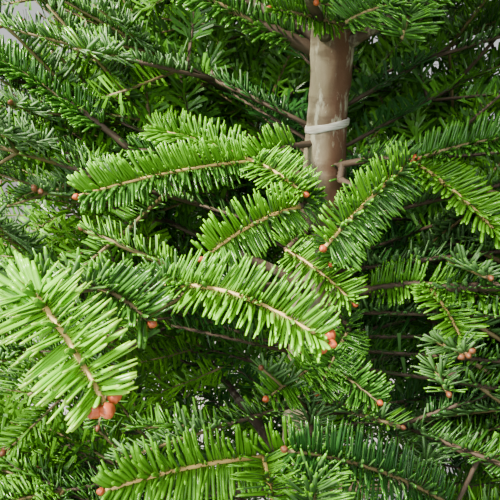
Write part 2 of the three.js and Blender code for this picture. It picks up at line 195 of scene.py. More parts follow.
def plan_ring(ring, index, between):
    """Heading, height, reach, rise and bend of each bough in one ring, from the crown's cone."""
    plans = []
    up_crown = (ring.height - LOWEST_WHORL) / (TRUNK_TIP - LOWEST_WHORL)
    height_spread = BETWEEN_HEIGHT_SPREAD if between else HEIGHT_SPREAD
    half_depth = BETWEEN_HALF_DEPTH if between else FAN_HALF_DEPTH
    for i in range(ring.boughs):
        key = index * KEYS_PER_RING + i
        sector = math.radians(ring.turn + 360 * i / ring.boughs)
        uneven = 1 + CROWN_UNEVEN * swing(key, 2)
        reach = (CROWN_TOP - ring.height) * CROWN_SLOPE * uneven
        reach *= BETWEEN_REACH if between else 1
        plans.append(
            {
                "name": f"{ring.name}_{chr(ord('a') + i)}",
                "key": key,
                "sector": sector,
                "half_turn": math.radians(BETWEEN_HALF_TURN if between else 180 / ring.boughs),
                "heading": sector + math.radians(HEADING_SPREAD * swing(key, 1)),
                "height": ring.height + height_spread * swing(key, 3),
                "reach": reach,
                "rise": math.tan(math.radians(blend(RISE_AT_FOOT, RISE_AT_TOP, up_crown**RISE_POWER))),
                "bend": blend(BEND_AT_FOOT, BEND_AT_TOP, up_crown),
                "years": ring.years,
                "bare": BARE_SHARE if ring.limb else 0,
                "root_radius": max(reach * BOUGH_ROOT_RADIUS, BOUGH_LEAST_RADIUS),
                "half_depth": half_depth * blend(1, DEPTH_AT_TOP, up_crown),
            }
        )
    return plans


def all_plans():
    """Every bough and every mass that stands on the trunk."""
    plans = []
    for i, ring in enumerate(WHORLS):
        plans += plan_ring(ring, i, False)
    for i, ring in enumerate(BETWEENS):
        plans += plan_ring(ring, i + FIRST_BETWEEN, True)
    return plans


def fan_level(plan, distance):
    """Height of a bough's fan: its foot, plus its rise, plus a bend with the distance squared."""
    return plan["height"] + plan["rise"] * distance + plan["bend"] * distance**2 / plan["reach"]


def bough_point(plan, share):
    """Point on a bough's middle line at a share of its reach."""
    centre = trunk_centre(plan["height"])
    distance = share * plan["reach"]
    across = centre[0] + math.cos(plan["heading"]) * distance
    ahead = centre[1] + math.sin(plan["heading"]) * distance
    return np.stack([across, ahead, fan_level(plan, distance)], axis=-1)


def bough_radius(plan, share):
    """Taper of a bough and its stem, quick at the root and slow towards the tip."""
    return blend(plan["root_radius"], STEM_TIP_RADIUS, np.maximum(share, 0) ** BOUGH_TAPER)


def bough_frame(plan, share, step=0.01):
    """Tangent of a bough at a share of its reach, the side of its fan, and the fan's upward."""
    tangent = unit(bough_point(plan, share + step) - bough_point(plan, share - step))
    side = np.array([-math.sin(plan["heading"]), math.cos(plan["heading"]), 0])
    return tangent, side, np.cross(tangent, side)


def in_space(plan, points):
    """True where points lie in a mass's sector, between its two cones and clear of the trunk."""
    away = (points - trunk_centre(points[:, 2]))[:, :2]
    distance = np.hypot(away[:, 0], away[:, 1])
    turned = np.arctan2(away[:, 1], away[:, 0]) - plan["sector"]
    turn = np.abs(np.arctan2(np.sin(turned), np.cos(turned)))
    level = np.abs(points[:, 2] - fan_level(plan, distance))
    clear = distance > trunk_radius(points[:, 2]) + TRUNK_CLEAR
    inside = distance < plan["reach"] * REACH_ALLOWED + NEEDLE_PAST_TIP
    sector = (plan["half_turn"] - turn) * distance > SECTOR_CLEAR
    return clear & inside & sector & (level < plan["half_depth"])


# The camera, and what the photograph shows from it.

CAMERA_PLACE = (-0.066, -0.50, 1.15)
CAMERA_PITCH = -18.0
CAMERA_WIDTH = 52.0
PICTURE_WIDTH = 500
HALF_PICTURE = PICTURE_WIDTH / 2
FOCAL = HALF_PICTURE / math.tan(math.radians(CAMERA_WIDTH / 2))
AHEAD = np.array([0, math.cos(math.radians(CAMERA_PITCH)), math.sin(math.radians(CAMERA_PITCH))])
ABOVE = np.array([0, -AHEAD[2], AHEAD[1]])
RIGHT = np.array([1.0, 0, 0])
VIEW_EDGE = 60
LEAST_DISTANCE = 0.01


def place_seen(across, down, distance):
    """The place that the photograph shows at a pixel, at a distance ahead of the camera."""
    to_right = (across - HALF_PICTURE) * distance / FOCAL
    to_top = (HALF_PICTURE - down) * distance / FOCAL
    return np.array(CAMERA_PLACE) + AHEAD * distance + RIGHT * to_right + ABOVE * to_top


def seen_at(points):
    """Pixels across and down, and distance ahead, of places as the photograph shows them.

    The last result is true where a place lies in view or a little way outside it.
    """
    away = points - np.array(CAMERA_PLACE)
    distance = away @ AHEAD
    scale = FOCAL / np.where(np.abs(distance) < LEAST_DISTANCE, LEAST_DISTANCE, distance)
    across, down = HALF_PICTURE + (away @ RIGHT) * scale, HALF_PICTURE - (away @ ABOVE) * scale
    low, high = -VIEW_EDGE, PICTURE_WIDTH + VIEW_EDGE
    seen = (across > low) & (across < high) & (down > low) & (down < high) & (distance > 0)
    return across, down, distance, seen


class SeenTwig(NamedTuple):
    """A twig that the photograph shows near by.

    Each joint is pixels across, pixels down, and metres ahead, and the first is the twig's root. up
    is the way its upper side faces, as rightwards, upwards and towards the camera. arch lifts each
    shoot's middle, knot is the number of buds at an inner joint, thick is how many times stouter it
    is than the others, and lean and shade are its shoots'. shade is painted shade: how many tints
    darker the needles on one side of the spray are.
    """

    joints: tuple
    up: tuple
    tint: int
    arch: float = 0.003
    buds: int = 1
    knot: int = 0
    lean: float = 0
    shade: int = 0
    thick: float = 1


# Each seen twig's tint is partly its needles' own green and partly painted light and shade: sunlit sprays
# get lighter tints, shaded ones darker.
SEEN_TWIGS = (
    SeenTwig(((157, 287, 0.345), (326, 342, 0.28)), (-0.42, 0.56, 0.71), 4, 0.012, buds=3, shade=1),
    SeenTwig(((30, 289, 0.245), (104, 402, 0.2)), (-0.04, 0.57, 0.82), 5, 0.004, buds=3),
    SeenTwig(((56, 326, 0.234), (24, 289, 0.243)), (0.1, 0.5, 0.86), 4, 0.001, lean=56),
    SeenTwig(((95, 288, 0.295), (149, 322, 0.285)), (0, 0.5, 0.86), 1, 0.004),
    SeenTwig(((338, 166, 0.478), (412, 161, 0.415), (521, 136, 0.37)), (0, 0.6, 0.8), 1, knot=3),
    SeenTwig(((412, 161, 0.415), (325, 247, 0.325)), (0.71, 0.37, 0.6), 4, shade=3),
    SeenTwig(((412, 161, 0.415), (502, 238, 0.38)), (0.1, 0.5, 0.86), 3, 0.004),
    SeenTwig(((325, 143, 0.488), (252, 161, 0.455), (79, 196, 0.385)), (0, 0.1, 0.99), 3, 0.004, shade=2),
    SeenTwig(((252, 161, 0.455), (304, 194, 0.405)), (-0.2, 0.5, 0.84), 4),
    SeenTwig(((252, 161, 0.455), (152, 130, 0.478)), (0, 0.5, 0.86), 3, 0.004),
    SeenTwig(((322, 196, 0.5), (300, 207, 0.415), (203, 259, 0.355)), (0.2, 0, 0.98), 4, 0.006, shade=2),
    SeenTwig(((455, 508, 0.375), (287, 451, 0.315)), (-0.13, 0.5, 0.86), 0, 0.009),
    SeenTwig(((321, 457, 0.347), (263, 457, 0.335), (105, 491, 0.29)), (0, 0.2, 0.98), 3, 0.004),
    SeenTwig(((263, 457, 0.335), (275, 516, 0.29)), (0, 0.4, 0.92), 3),
    SeenTwig(((490, -30, 0.4), (412, 4, 0.36), (346, 22, 0.33)), (-0.1, 0.3, 0.95), 1, buds=0),
    SeenTwig(((412, 4, 0.36), (402, 38, 0.33)), (-0.1, 0.3, 0.95), 1, 0.001, buds=0),
    SeenTwig(((318, 54, 0.474), (255, 24, 0.465), (180, -10, 0.45)), (0, 0.3, 0.95), 1, 0.002, thick=1.9),
    SeenTwig(((352, 30, 0.455), (342, 26, 0.43), (272, 10, 0.41)), (0, 0.3, 0.95), 2, 0.002),
    SeenTwig(((322, 228, 0.5), (286, 250, 0.455), (353, 303, 0.415)), (0, 0.4, 0.92), 3, 0.004),
    SeenTwig(((326, 300, 0.53), (349, 330, 0.47), (318, 392, 0.42)), (0, 0.4, 0.92), 1),
    SeenTwig(((340, 180, 0.47), (368, 205, 0.435), (333, 262, 0.42)), (0, 0.4, 0.92), 1),
    SeenTwig(((345, 30, 0.45), (372, 22, 0.42), (318, 4, 0.38)), (0, 0.4, 0.92), 1),
    SeenTwig(((326, 180, 0.5), (130, 150, 0.5), (60, 98, 0.48), (-12, 55, 0.46)), (0, 0.6, 0.8), 1),
    SeenTwig(((338, 300, 0.5), (425, 283, 0.44), (520, 306, 0.4)), (0, 0.5, 0.86), 2, 0.004),
    SeenTwig(((425, 283, 0.44), (462, 340, 0.4)), (0.1, 0.4, 0.9), 3, 0.004),
    SeenTwig(((338, 330, 0.53), (345, 352, 0.46), (268, 398, 0.4)), (0, 0.4, 0.92), 2, 0.004),
    SeenTwig(((305, 340, 0.53), (300, 352, 0.47), (378, 402, 0.41)), (0, 0.4, 0.92), 1, 0.004),
)

# Nothing may grow in front of the first of those twigs, or of the bare trunk between these pixels.
CLEAR_TWIGS = 16
CLEAR_PROBES = 7
PROBES_FROM = 0.1
CLEAR_PIXELS = 30
CLEAR_BEHIND = 0.02
CLEAR_AHEAD = 0.36
TRUNK_ACROSS = (312, 326, 340)
TRUNK_DOWN = (66, 90, 114, 138, 158)
TRUNK_AHEAD = 0.47
WAY_PROBES = 5


@lru_cache(maxsize=1)
def kept_clear():
    """Pixels and distances along the seen twigs and the bare trunk: nothing grows before them."""
    spots = [[(across, down, TRUNK_AHEAD) for across in TRUNK_ACROSS for down in TRUNK_DOWN]]
    for twig in SEEN_TWIGS[:CLEAR_TWIGS]:
        joints = np.array(twig.joints)
        for first, second in zip(joints[:-1], joints[1:]):
            spots.append(first + (second - first) * np.linspace(PROBES_FROM, 1, CLEAR_PROBES)[:, None])
    return np.concatenate(spots)


def in_the_way(points):
    """True where a point would hide what the photograph shows from the camera's place."""
    across, down, distance, seen = seen_at(points)
    clear = kept_clear()
    gap = np.hypot(across[:, None] - clear[:, 0], down[:, None] - clear[:, 1])
    before = ((gap < CLEAR_PIXELS) & (distance[:, None] < clear[:, 2] + CLEAR_BEHIND)).any(axis=1)
    return seen & (before | (distance < CLEAR_AHEAD))


# The finer rule: each twig is a chain of yearly shoots, with finer twigs in pairs at its joints.
# The numbers in a key only keep one twig's draws apart from another's.

YEAR_LENGTH = 0.088
FINE_ANGLE = 47
FINE_ANGLE_SPREAD = 9
FINE_SHARE = 0.6
FINE_SHARE_SPREAD = 0.25
FINE_LEAST = 0.045
FINE_LIFT_SPREAD = 0.3
FINE_ORDERS = 3
FINE_STOUTNESS = 0.8
FINE_PROBES = (0.6, 1.0)
SHOOT_LEAST = 0.03
TWIG_ROOT_RADIUS = 0.0021
TWIG_TIP_RADIUS = 0.0009
ROLL = 0.35
LONG_TWIG = 0.14
LONG_TWIG_BARE = 0.3
JOINT_BARE = 0.06
CLUSTER = 3
CLUSTER_CHANCE = 0.18
BUD_CHANCE = 0.6

STEM_FOOT_BARE = 0.25
STEM_BARE = 0.04
STEM_CLEAR = 0.06
STEM_SUNK = 0.6
SHORTEST_YEAR = 0.04
SPRAY_SHARES = (0.4, 0.7, 1.0)
SPRAY_HALF_WIDTH = 0.024
LOOSE_DEPTH = 1.5
FILLS = ((0.25, 0.85), (0.5, 0.1), (0.75, -0.6))
FILL_LENGTH = 0.62
FILL_LIFT_SPREAD = 0.3
FILL_LENGTH_SPREAD = 0.25
LAST_FILL = 0.93


STRAIGHT = (0, 0, 0)


class Shoots:
    """A growing list of yearly shoots. Each is a bowed line with an upward side and two radii."""

    VECTORS = ("start", "end", "bow", "up")
    NUMBERS = ("key", "age", "bare", "buds", "tint", "level", "lean", "shade")

    def __init__(self):
        self.rows = []

    def add(
        self, start, end, bow, up, radii, key, age, bare=0.0, buds=0, tint=-1, level=-1, lean=0, shade=0
    ):
        """Adds one shoot. bow is how far its middle stands off the straight line, as a vector.

        bare is the share of it that has no needles. A tint or a level of detail below 0 is left to
        the shoot's place and age. lean is how many degrees its needles bend towards the tip, and
        shade how many tints darker its needles on one side are: painted shade.
        """
        self.rows.append((*start, *end, *bow, *up, *radii, key, age, bare, buds, tint, level, lean, shade))

    def arrays(self):
        """All shoots as named arrays."""
        rows = np.array(self.rows, float)
        named = {name: rows[:, 3 * i : 3 * i + 3] for i, name in enumerate(self.VECTORS)}
        after_vectors = 3 * len(self.VECTORS)
        named["radii"] = rows[:, after_vectors : after_vectors + 2]
        for i, name in enumerate(self.NUMBERS):
            named[name] = rows[:, after_vectors + 2 + i]
        return named


def shoot_paths(shoots, which, shares):
    """Points on chosen shoots at given shares: a straight line plus a bow that is fullest midway."""
    start, end, bow = (shoots[name][which][:, None] for name in ("start", "end", "bow"))
    shares = shares[..., None]
    return start + (end - start) * shares + bow * 4 * shares * (1 - shares)


def shoot_frames(shoots, which):
    """Along, across and up of chosen shoots."""
    along = unit(shoots["end"][which] - shoots["start"][which])
    across = unit(np.cross(shoots["up"][which], along))
    return along, across, np.cross(along, across)


def rolled(up, along, key):
    """The upward side square to a shoot, rolled a little about it."""
    along = unit(along)
    square = unit(up - along * np.dot(up, along))
    turn = ROLL * swing(key, 61)
    return square * math.cos(turn) + np.cross(along, square) * math.sin(turn)


def bent_path(root, away, ahead, length):
    """A twig's line: straight away from its root, bent forwards with the square of the share."""

    def path(share):
        return root + away * length * share + ahead * length * FORWARD_BEND * share * share

    return path


def tip_buds(key):
    """How many buds a twig's tip bears: a cluster, one or none."""
    return CLUSTER if chance(key, 71) < CLUSTER_CHANCE else int(chance(key, 72) < BUD_CHANCE)


def grow_twig(plan, path, length, up, key, order, shoots, root_radius):
    """Lays shoots end to end along a twig, then grows a pair of finer twigs at each joint.

    A twig stops at the joint before it would stand in the way of what the photograph shows.
    """
    years = max(1, round(length / YEAR_LENGTH))
    joints = [path(i / years) for i in range(years + 1)]
    probes = np.array([path((i + 1) / (years * WAY_PROBES)) for i in range(years * WAY_PROBES)])
    hidden = in_the_way(probes).reshape(years, WAY_PROBES).any(axis=1)
    grown = int(np.argmax(hidden)) if hidden.any() else years
    for i in range(grown):
        bow = path((i + 0.5) / years) - (joints[i] + joints[i + 1]) / 2
        radii = [blend(root_radius, TWIG_TIP_RADIUS, j / years) for j in (i, i + 1)]
        bare = LONG_TWIG_BARE if i == 0 and length > LONG_TWIG else JOINT_BARE
        side_up = rolled(up, joints[i + 1] - joints[i], key + i)
        age = grown - 1 - i
        buds = 0 if age else tip_buds(key)
        shoots.add(joints[i], joints[i + 1], bow, side_up, radii, key * 7 + i, age, bare, buds)
    if order >= FINE_ORDERS:
        return
    for i in range(1, grown):
        tangent = unit(joints[i + 1] - joints[i - 1])
        side = unit(np.cross(up, tangent))
        for hand in (-1, 1):
            fine_key = key * 13 + i * 3 + hand + order * 101
            portion = FINE_SHARE * (1 + FINE_SHARE_SPREAD * swing(fine_key, 21))
            fine_length = portion * (1 - i / years) * length + FINE_LEAST * chance(fine_key, 22)
            if fine_length < SHOOT_LEAST:
                continue
            angle = math.radians(FINE_ANGLE + FINE_ANGLE_SPREAD * swing(fine_key, 23))
            away = tangent * math.cos(angle) + side * hand * math.sin(angle)
            away = unit(away + up * FINE_LIFT_SPREAD * swing(fine_key, 24))
            fine_path = bent_path(joints[i], away, tangent, fine_length)
            if not in_space(plan, np.array([fine_path(share) for share in FINE_PROBES])).all():
                continue
            radius = blend(root_radius, TWIG_TIP_RADIUS, i / years) * FINE_STOUTNESS
            fine_up = unit(up - away * np.dot(up, away))
            grow_twig(plan, fine_path, fine_length, fine_up, fine_key, order + 1, shoots, radius)


def grow_stem(plan, shares, shoots):
    """The stem of a mass: one shoot a year from the bough's end to its tip."""
    for i in range(len(shares) - 1):
        start, end = bough_point(plan, shares[i]), bough_point(plan, shares[i + 1])
        middle = bough_point(plan, (shares[i] + shares[i + 1]) / 2)
        _, _, up = bough_frame(plan, shares[i])
        radii = [bough_radius(plan, share) for share in shares[i : i + 2]]
        age = len(shares) - 2 - i
        bare = STEM_BARE if i else STEM_FOOT_BARE
        buds = 0 if age else CLUSTER
        bow = middle - (start + end) / 2
        shoots.add(start, end, bow, up, radii, plan["key"] * 31 + i, age, bare, buds)


def grow_side(plan, share, key, hand, lift, length, shoots, space):
    """One side twig of a stem, shortened step by step until its spray fits the mass's space."""
    tangent, side, up = bough_frame(plan, share)
    root = bough_point(plan, share)
    angle = math.radians(SIDE_ANGLE + SIDE_ANGLE_SPREAD * swing(key, hand + 5))
    away = tangent * math.cos(angle) + side * hand * math.sin(angle) + up * lift
    across = unit(np.cross(away, up)) * SPRAY_HALF_WIDTH
    while length > LEAST_TWIG:
        path = bent_path(root, away, tangent, length)
        probes = [path(t) + edge for t in SPRAY_SHARES for edge in (-across, across)]
        probes.append(path(1.0 + NEEDLE_PAST_TIP / length))
        if in_space(space, np.array(probes)).all():
            twig_up = unit(up - unit(away) * np.dot(up, unit(away)))
            grow_twig(space, path, length, twig_up, key * 17 + hand, 1, shoots, TWIG_ROOT_RADIUS)
            return
        length *= TWIG_TRIM


def grow_bough(plan, shoots):
    """The stem of one mass, its side twigs at each year's joint, and the finer ones that fill it."""
    lead = 0 if plan["bare"] else trunk_radius(plan["height"]) / plan["reach"]
    first = lead + plan["bare"] + STEM_CLEAR
    foot = plan["bare"] if plan["bare"] else lead * STEM_SUNK
    joints = [year / plan["years"] for year in range(1, plan["years"] + 1)]
    grow_stem(plan, [foot] + [share for share in joints if share > foot + SHORTEST_YEAR], shoots)
    loose = {**plan, "half_depth": plan["half_depth"] * LOOSE_DEPTH}
    for year, share in enumerate(joints[:-1], 1):
        key = plan["key"] * 10 + year
        for hand in (-1, 1):
            portion = SIDE_SHARE * (1 + SIDE_SHARE_SPREAD * swing(key, hand + 8))
            length = (portion * (1 - share) + SIDE_LEAST) * plan["reach"]
            if share > first + JOINT_CLEAR:
                lift = SIDE_LIFT + SIDE_LIFT_SPREAD * swing(key, hand + 11)
                grow_side(plan, share, key, hand, lift, length, shoots, plan)
            for i, (step, fill_lift) in enumerate(FILLS):
                between = share + step / plan["years"]
                if first + JOINT_CLEAR < between < LAST_FILL:
                    fill_key = key * 3 + i * 41 + 7
                    upward = hand * (-1) ** year
                    lift = fill_lift * (1 + FILL_LIFT_SPREAD * swing(fill_key, hand + 31)) * upward
                    fill = FILL_LENGTH * length * (1 + FILL_LENGTH_SPREAD * swing(fill_key, hand + 34))
                    grow_side(plan, between, fill_key, hand, lift, fill, shoots, loose)


# Small boughs that fill the crown's middle.


class InnerRun(NamedTuple):
    """Small boughs set a step apart from a first height to a last, within a sector from a turn."""

    first: float
    last: float
    step: float
    turn: float
    sector: float
    reach: tuple


INNER_RUNS = (
    InnerRun(0.47, 1.69, 0.023, turn=0, sector=360, reach=(0.5, 0.95)),
    InnerRun(0.97, 1.30, 0.022, turn=60, sector=360, reach=(0.85, 1.0)),
    InnerRun(1.00, 1.17, 0.013, turn=100, sector=115, reach=(0.95, 1.05)),
    InnerRun(0.82, 1.00, 0.022, turn=-55, sector=90, reach=(0.7, 1.0)),
    InnerRun(0.78, 1.20, 0.017, turn=0, sector=170, reach=(0.85, 1.05)),
    InnerRun(0.50, 0.92, 0.028, turn=200, sector=360, reach=(0.8, 1.0)),
    InnerRun(1.34, 1.72, 0.032, turn=30, sector=360, reach=(0.8, 1.0)),
)
GOLDEN_TURN = 137.5
INNER_YEARS = 3
INNER_SHORT = 0.15
INNER_SHORT_YEARS = 2
INNER_HALF_TURN = 100
INNER_HALF_DEPTH = 0.09
INNER_STOUTNESS = 1.2
INNER_PROBES = 12


def inner_plans():
    """Small boughs that stand on the trunk between the whorls, each a golden turn on from the last.

    A run with a narrower sector folds those turns into it. A bough that would hide what the
    photograph shows is left out.
    """
    plans = []
    for run in INNER_RUNS:
        for i in range(int((run.last - run.first) / run.step)):
            turn = run.turn + (GOLDEN_TURN * i) % run.sector
            ring = Ring("inner", run.first + run.step * i, 1, turn, INNER_YEARS)
            plan = plan_ring(ring, len(plans) + FIRST_INNER, True)[0]
            plan["reach"] *= blend(*run.reach, chance(i, 81 + run.turn)) / BETWEEN_REACH
            plan["years"] = INNER_YEARS if plan["reach"] > INNER_SHORT else INNER_SHORT_YEARS
            plan["half_turn"] = math.radians(INNER_HALF_TURN)
            plan["root_radius"] = TWIG_ROOT_RADIUS * INNER_STOUTNESS
            plan["half_depth"] = INNER_HALF_DEPTH
            plans.append(plan)
    shares = np.linspace(PROBES_FROM, 1, INNER_PROBES)
    return [plan for plan in plans if not in_the_way(bough_point(plan, shares)).any()]


# The top shoot, with rings of side shoots. Each ring gives its height above the trunk's tip, the
# length of its shoots and their rise in degrees.

LEADER_RINGS = ((0.026, 0.128, 42), (-0.018, 0.125, 30), (-0.052, 0.13, 24))
LEADER_SHOOTS = 5
LEADER_KEY = 9001
LEADER_SIDE_KEY = 9100
LEADER_AGE = -1
LEADER_TINT = 2
LEADER_LEVEL = 1
LEADER_LEAN = 0.003
LEADER_NEEDLE_LEAN = 30
LEADER_BARE = 0.06
LEADER_RING_TURN = 0.4
LEADER_TURN_SPREAD = 0.2
LEADER_RISE_SPREAD = 5
LEADER_LENGTH_SPREAD = 0.12
LEADER_SIDE_RADII = (0.0022, 0.0012)
LEADER_SIDE_BARE = 0.08
LEADER_SIDE_SAG = 0.004


def grow_leader(shoots):
    """The leader on the trunk's tip, and rings of rising side shoots round its foot."""
    look = {"buds": CLUSTER, "tint": LEADER_TINT, "level": LEADER_LEVEL}
    foot = trunk_centre(TRUNK_TIP)
    top = np.array([foot[0] + LEADER_LEAN, foot[1], CROWN_TOP - NEEDLE_PAST_TIP])
    radii = (TRUNK_TIP_RADIUS, TWIG_TIP_RADIUS)
    lean = LEADER_NEEDLE_LEAN
    shoots.add(foot, top, STRAIGHT, RIGHT, radii, LEADER_KEY, LEADER_AGE, LEADER_BARE, lean=lean, **look)
    for row, (above_tip, length, ring_rise) in enumerate(LEADER_RINGS):
        root = foot + np.array([0, 0, above_tip])
        for i in range(LEADER_SHOOTS):
            key = i + 17 * row
            step = i + LEADER_RING_TURN * row + LEADER_TURN_SPREAD * swing(key, 40)
            turn = 2 * math.pi * step / LEADER_SHOOTS
            rise = math.radians(ring_rise + LEADER_RISE_SPREAD * swing(key, 41))
            reach = length * (1 + LEADER_LENGTH_SPREAD * swing(key, 42))
            level = np.array([math.cos(turn), math.sin(turn), 0])
            end = root + (level * math.cos(rise) + np.array([0, 0, math.sin(rise)])) * reach
            up = -level * math.sin(rise) + np.array([0, 0, math.cos(rise)])
            bow = up * -LEADER_SIDE_SAG
            side_key = LEADER_SIDE_KEY + key
            shoots.add(root, end, bow, up, LEADER_SIDE_RADII, side_key, 0, LEADER_SIDE_BARE, **look)


# The twigs seen near by, carried by the wood that is grown before them.

SEEN_KEY = 9500
SEEN_RADII = (0.0034, 0.0026)
SEEN_TIP_RADII = (0.0016, 0.0011)
SEEN_BARE = 0.4
SEEN_TIP_BARE = 0.04
LINK_KEY = 9
LINK_AGE = 3
WOOD_PROBES = 15
WOOD_LEAST_RADIUS = 0.001

# The mass whose place those twigs take isn't grown.
SEEN_MASSES = ("between_3_b",)


def wood_points(shoots):
    """Points along the middles of all shoots stout enough to carry a twig, and the radii there."""
    grown = shoots.arrays()
    stout = np.flatnonzero(grown["radii"].min(axis=1) > WOOD_LEAST_RADIUS)
    shares = np.linspace(0, 1, WOOD_PROBES)
    lines = shoot_paths(grown, stout, np.broadcast_to(shares, (len(stout), WOOD_PROBES)))
    root, tip = grown["radii"][stout][:, :1], grown["radii"][stout][:, 1:]
    return lines.reshape(-1, 3), blend(root, tip, shares).ravel()


def carrier_point(root, points, radii):
    """The nearest middle of a shoot or of the trunk, and the gap from its surface to a twig's root."""
    points = np.concatenate([points, trunk_centre(root[2:])])
    radii = np.append(radii, trunk_radius(root[2]))
    gaps = np.linalg.norm(points - root, axis=1) - radii
    return points[np.argmin(gaps)], gaps.min()


def grow_seen(shoots):
    """The twigs that the photograph shows near by, each with its upper side turned to the camera.

    A twig whose first joint stands clear of all wood gets a short bare link to the nearest.
    """
    points, radii = wood_points(shoots)
    for i, twig in enumerate(SEEN_TWIGS):
        own = Shoots()
        key = SEEN_KEY + 10 * i
        places = [place_seen(*joint) for joint in twig.joints]
        facing = np.array(twig.up) @ np.array([RIGHT, ABOVE, -AHEAD])
        bow = np.array([0, 0, twig.arch])
        look = {"tint": twig.tint, "level": 0}
        needles = {"lean": twig.lean, "shade": twig.shade}
        for j, (start, end) in enumerate(zip(places[:-1], places[1:])):
            age = len(places) - 2 - j
            along = unit(end - start)
            up = unit(facing - along * np.dot(facing, along))
            ends = [twig.thick * radius for radius in (SEEN_RADII if age else SEEN_TIP_RADII)]
            bare, buds = (SEEN_BARE, twig.knot) if age else (SEEN_TIP_BARE, twig.buds)
            own.add(start, end, bow, up, ends, key + j, age, bare, buds, **look, **needles)
        foot, gap = carrier_point(places[0], points, radii)
        if gap > 0:
            root_radius = own.arrays()["radii"][0, 0]
            ends = (root_radius, root_radius)
            own.add(foot, places[0], STRAIGHT, facing, ends, key + LINK_KEY, LINK_AGE, bare=1.0, **look)
        own_points, own_radii = wood_points(own)
        points, radii = np.concatenate([points, own_points]), np.concatenate([radii, own_radii])
        shoots.rows += own.rows


@lru_cache(maxsize=1)
def grown_shoots():
    """All shoots of the crown."""
    shoots = Shoots()
    for plan in all_plans() + inner_plans():
        if plan["name"] not in SEEN_MASSES:
            grow_bough(plan, shoots)
    grow_leader(shoots)
    grow_seen(shoots)
    return shoots.arrays()


# Meshes from arrays.


def make_piece(name, surface, materials, kinds=0, smooth=True):
    """A mesh object from a surface's points and triangles, with a material for each one's kind."""
    points, triangles = surface
    mesh = bpy.data.meshes.new(name)
    mesh.vertices.add(len(points))
    mesh.vertices.foreach_set("co", np.ascontiguousarray(points, np.float32).ravel())
    mesh.loops.add(triangles.size)
    mesh.loops.foreach_set("vertex_index", np.ascontiguousarray(triangles, np.int32).ravel())
    mesh.polygons.add(len(triangles))
    mesh.polygons.foreach_set("loop_start", np.arange(0, triangles.size, 3, dtype=np.int32))
    for material in materials:
        mesh.materials.append(material)
    kinds = np.broadcast_to(kinds, len(triangles))
    mesh.polygons.foreach_set("material_index", np.ascontiguousarray(kinds, np.int32))
    mesh.polygons.foreach_set("use_smooth", np.full(len(triangles), smooth))
    mesh.update(calc_edges=True)
    piece = bpy.data.objects.new(name, mesh)
    bpy.context.scene.collection.objects.link(piece)
    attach(piece, BODY)
    return piece


def joined(surfaces):
    """Several surfaces' points and triangles as one."""
    offset = 0
    points, triangles = [], []
    for spots, faces in surfaces:
        points.append(spots)
        triangles.append(faces + offset)
        offset += len(spots)
    return np.concatenate(points), np.concatenate(triangles)


def ring_template(stations, sides):
    """Corners and triangles of a closed tube. A corner is (share along, turn, size of its ring)."""
    corners = []
    triangles = []
    for share, size in stations:
        for side in range(sides):
            corners.append((share, 2 * math.pi * side / sides, size))
    for ring in range(len(stations) - 1):
        for side in range(sides):
            a = ring * sides + side
            b = ring * sides + (side + 1) % sides
            triangles += [(a, b, a + sides), (b, b + sides, a + sides)]
    last = (len(stations) - 1) * sides
    for side in range(1, sides - 1):
        triangles.append((0, side + 1, side))
        triangles.append((last, last + side, last + side + 1))
    return np.array(corners), np.array(triangles)


def spread_template(corner_points, triangles):
    """Copies one shape's triangles for each of many shapes whose corners are given."""
    count, corners = corner_points.shape[:2]
    offsets = np.arange(count)[:, None, None] * corners
    return corner_points.reshape(-1, 3), (triangles[None] + offsets).reshape(-1, 3)


def directions_round(turns, across, up):
    """For each of many paths, the directions that stand at each turn between its across and up."""
    return np.cos(turns)[:, None] * across[:, None] + np.sin(turns)[:, None] * up[:, None]


# Twigs.

KNOB_SWELL = 0.16
KNOB_RATE = 55
KNOB_TWIST = 3


def tubes(shoots, which, sides, rows):
    """Round twigs: each ring's corners stand off the path by the radius there.

    A sine of the share and the turn lays low knobs on them.
    """
    corners, triangles = ring_template([(share, 1) for share in np.linspace(0, 1, rows)], sides)
    turns = corners[:, 1]
    shares = np.broadcast_to(corners[:, 0], (len(which), len(corners)))
    _, across, up = shoot_frames(shoots, which)
    radii = shoots["radii"][which]
    radius = blend(radii[:, :1], radii[:, 1:], shares)
    radius = radius * (1 + KNOB_SWELL * np.sin(KNOB_RATE * shares + KNOB_TWIST * turns))
    ring = directions_round(turns, across, up)
    return spread_template(shoot_paths(shoots, which, shares) + ring * radius[..., None], triangles)


# Shapes of one needle, as corners of (share of its length, across, thick). The last list gives the
# kind of each triangle.

UPPER, UNDERSIDE, TIP = 0, 1, 2
FINE_STATIONS = ((0.0, 0.4), (0.25, 1.0), (0.8, 0.96), (0.985, 0.5))
FINE_CROWN = 0.7
FINE_KEEL = 0.8
BLUNT_STATIONS = ((0.2, 1.0), (0.88, 0.8))
BLUNT_TOP = 0.3
BLUNT_KEEL = 0.7


def fine_needle():
    """A near needle: sections of four corners, rounded above, keeled below, with a blunt end."""
    corners, triangles, kinds = [], [], []
    for share, width in FINE_STATIONS:
        corners += [(share, -width, 0), (share, 0, FINE_CROWN * width)]
        corners += [(share, width, 0), (share, 0, -FINE_KEEL * width)]
    for ring in range(len(FINE_STATIONS) - 1):
        for side in range(4):
            a, b = ring * 4 + side, ring * 4 + (side + 1) % 4
            triangles += [(a, a + 4, b), (b, a + 4, b + 4)]
            kind = UPPER if side < 2 else UNDERSIDE
            kinds += [TIP if ring == len(FINE_STATIONS) - 2 else kind] * 2
    last = (len(FINE_STATIONS) - 1) * 4
    triangles += [(0, 1, 2), (0, 2, 3), (last, last + 2, last + 1), (last, last + 3, last + 2)]
    kinds += [UPPER, UNDERSIDE, TIP, TIP]
    return np.array(corners), np.array(triangles), np.array(kinds)


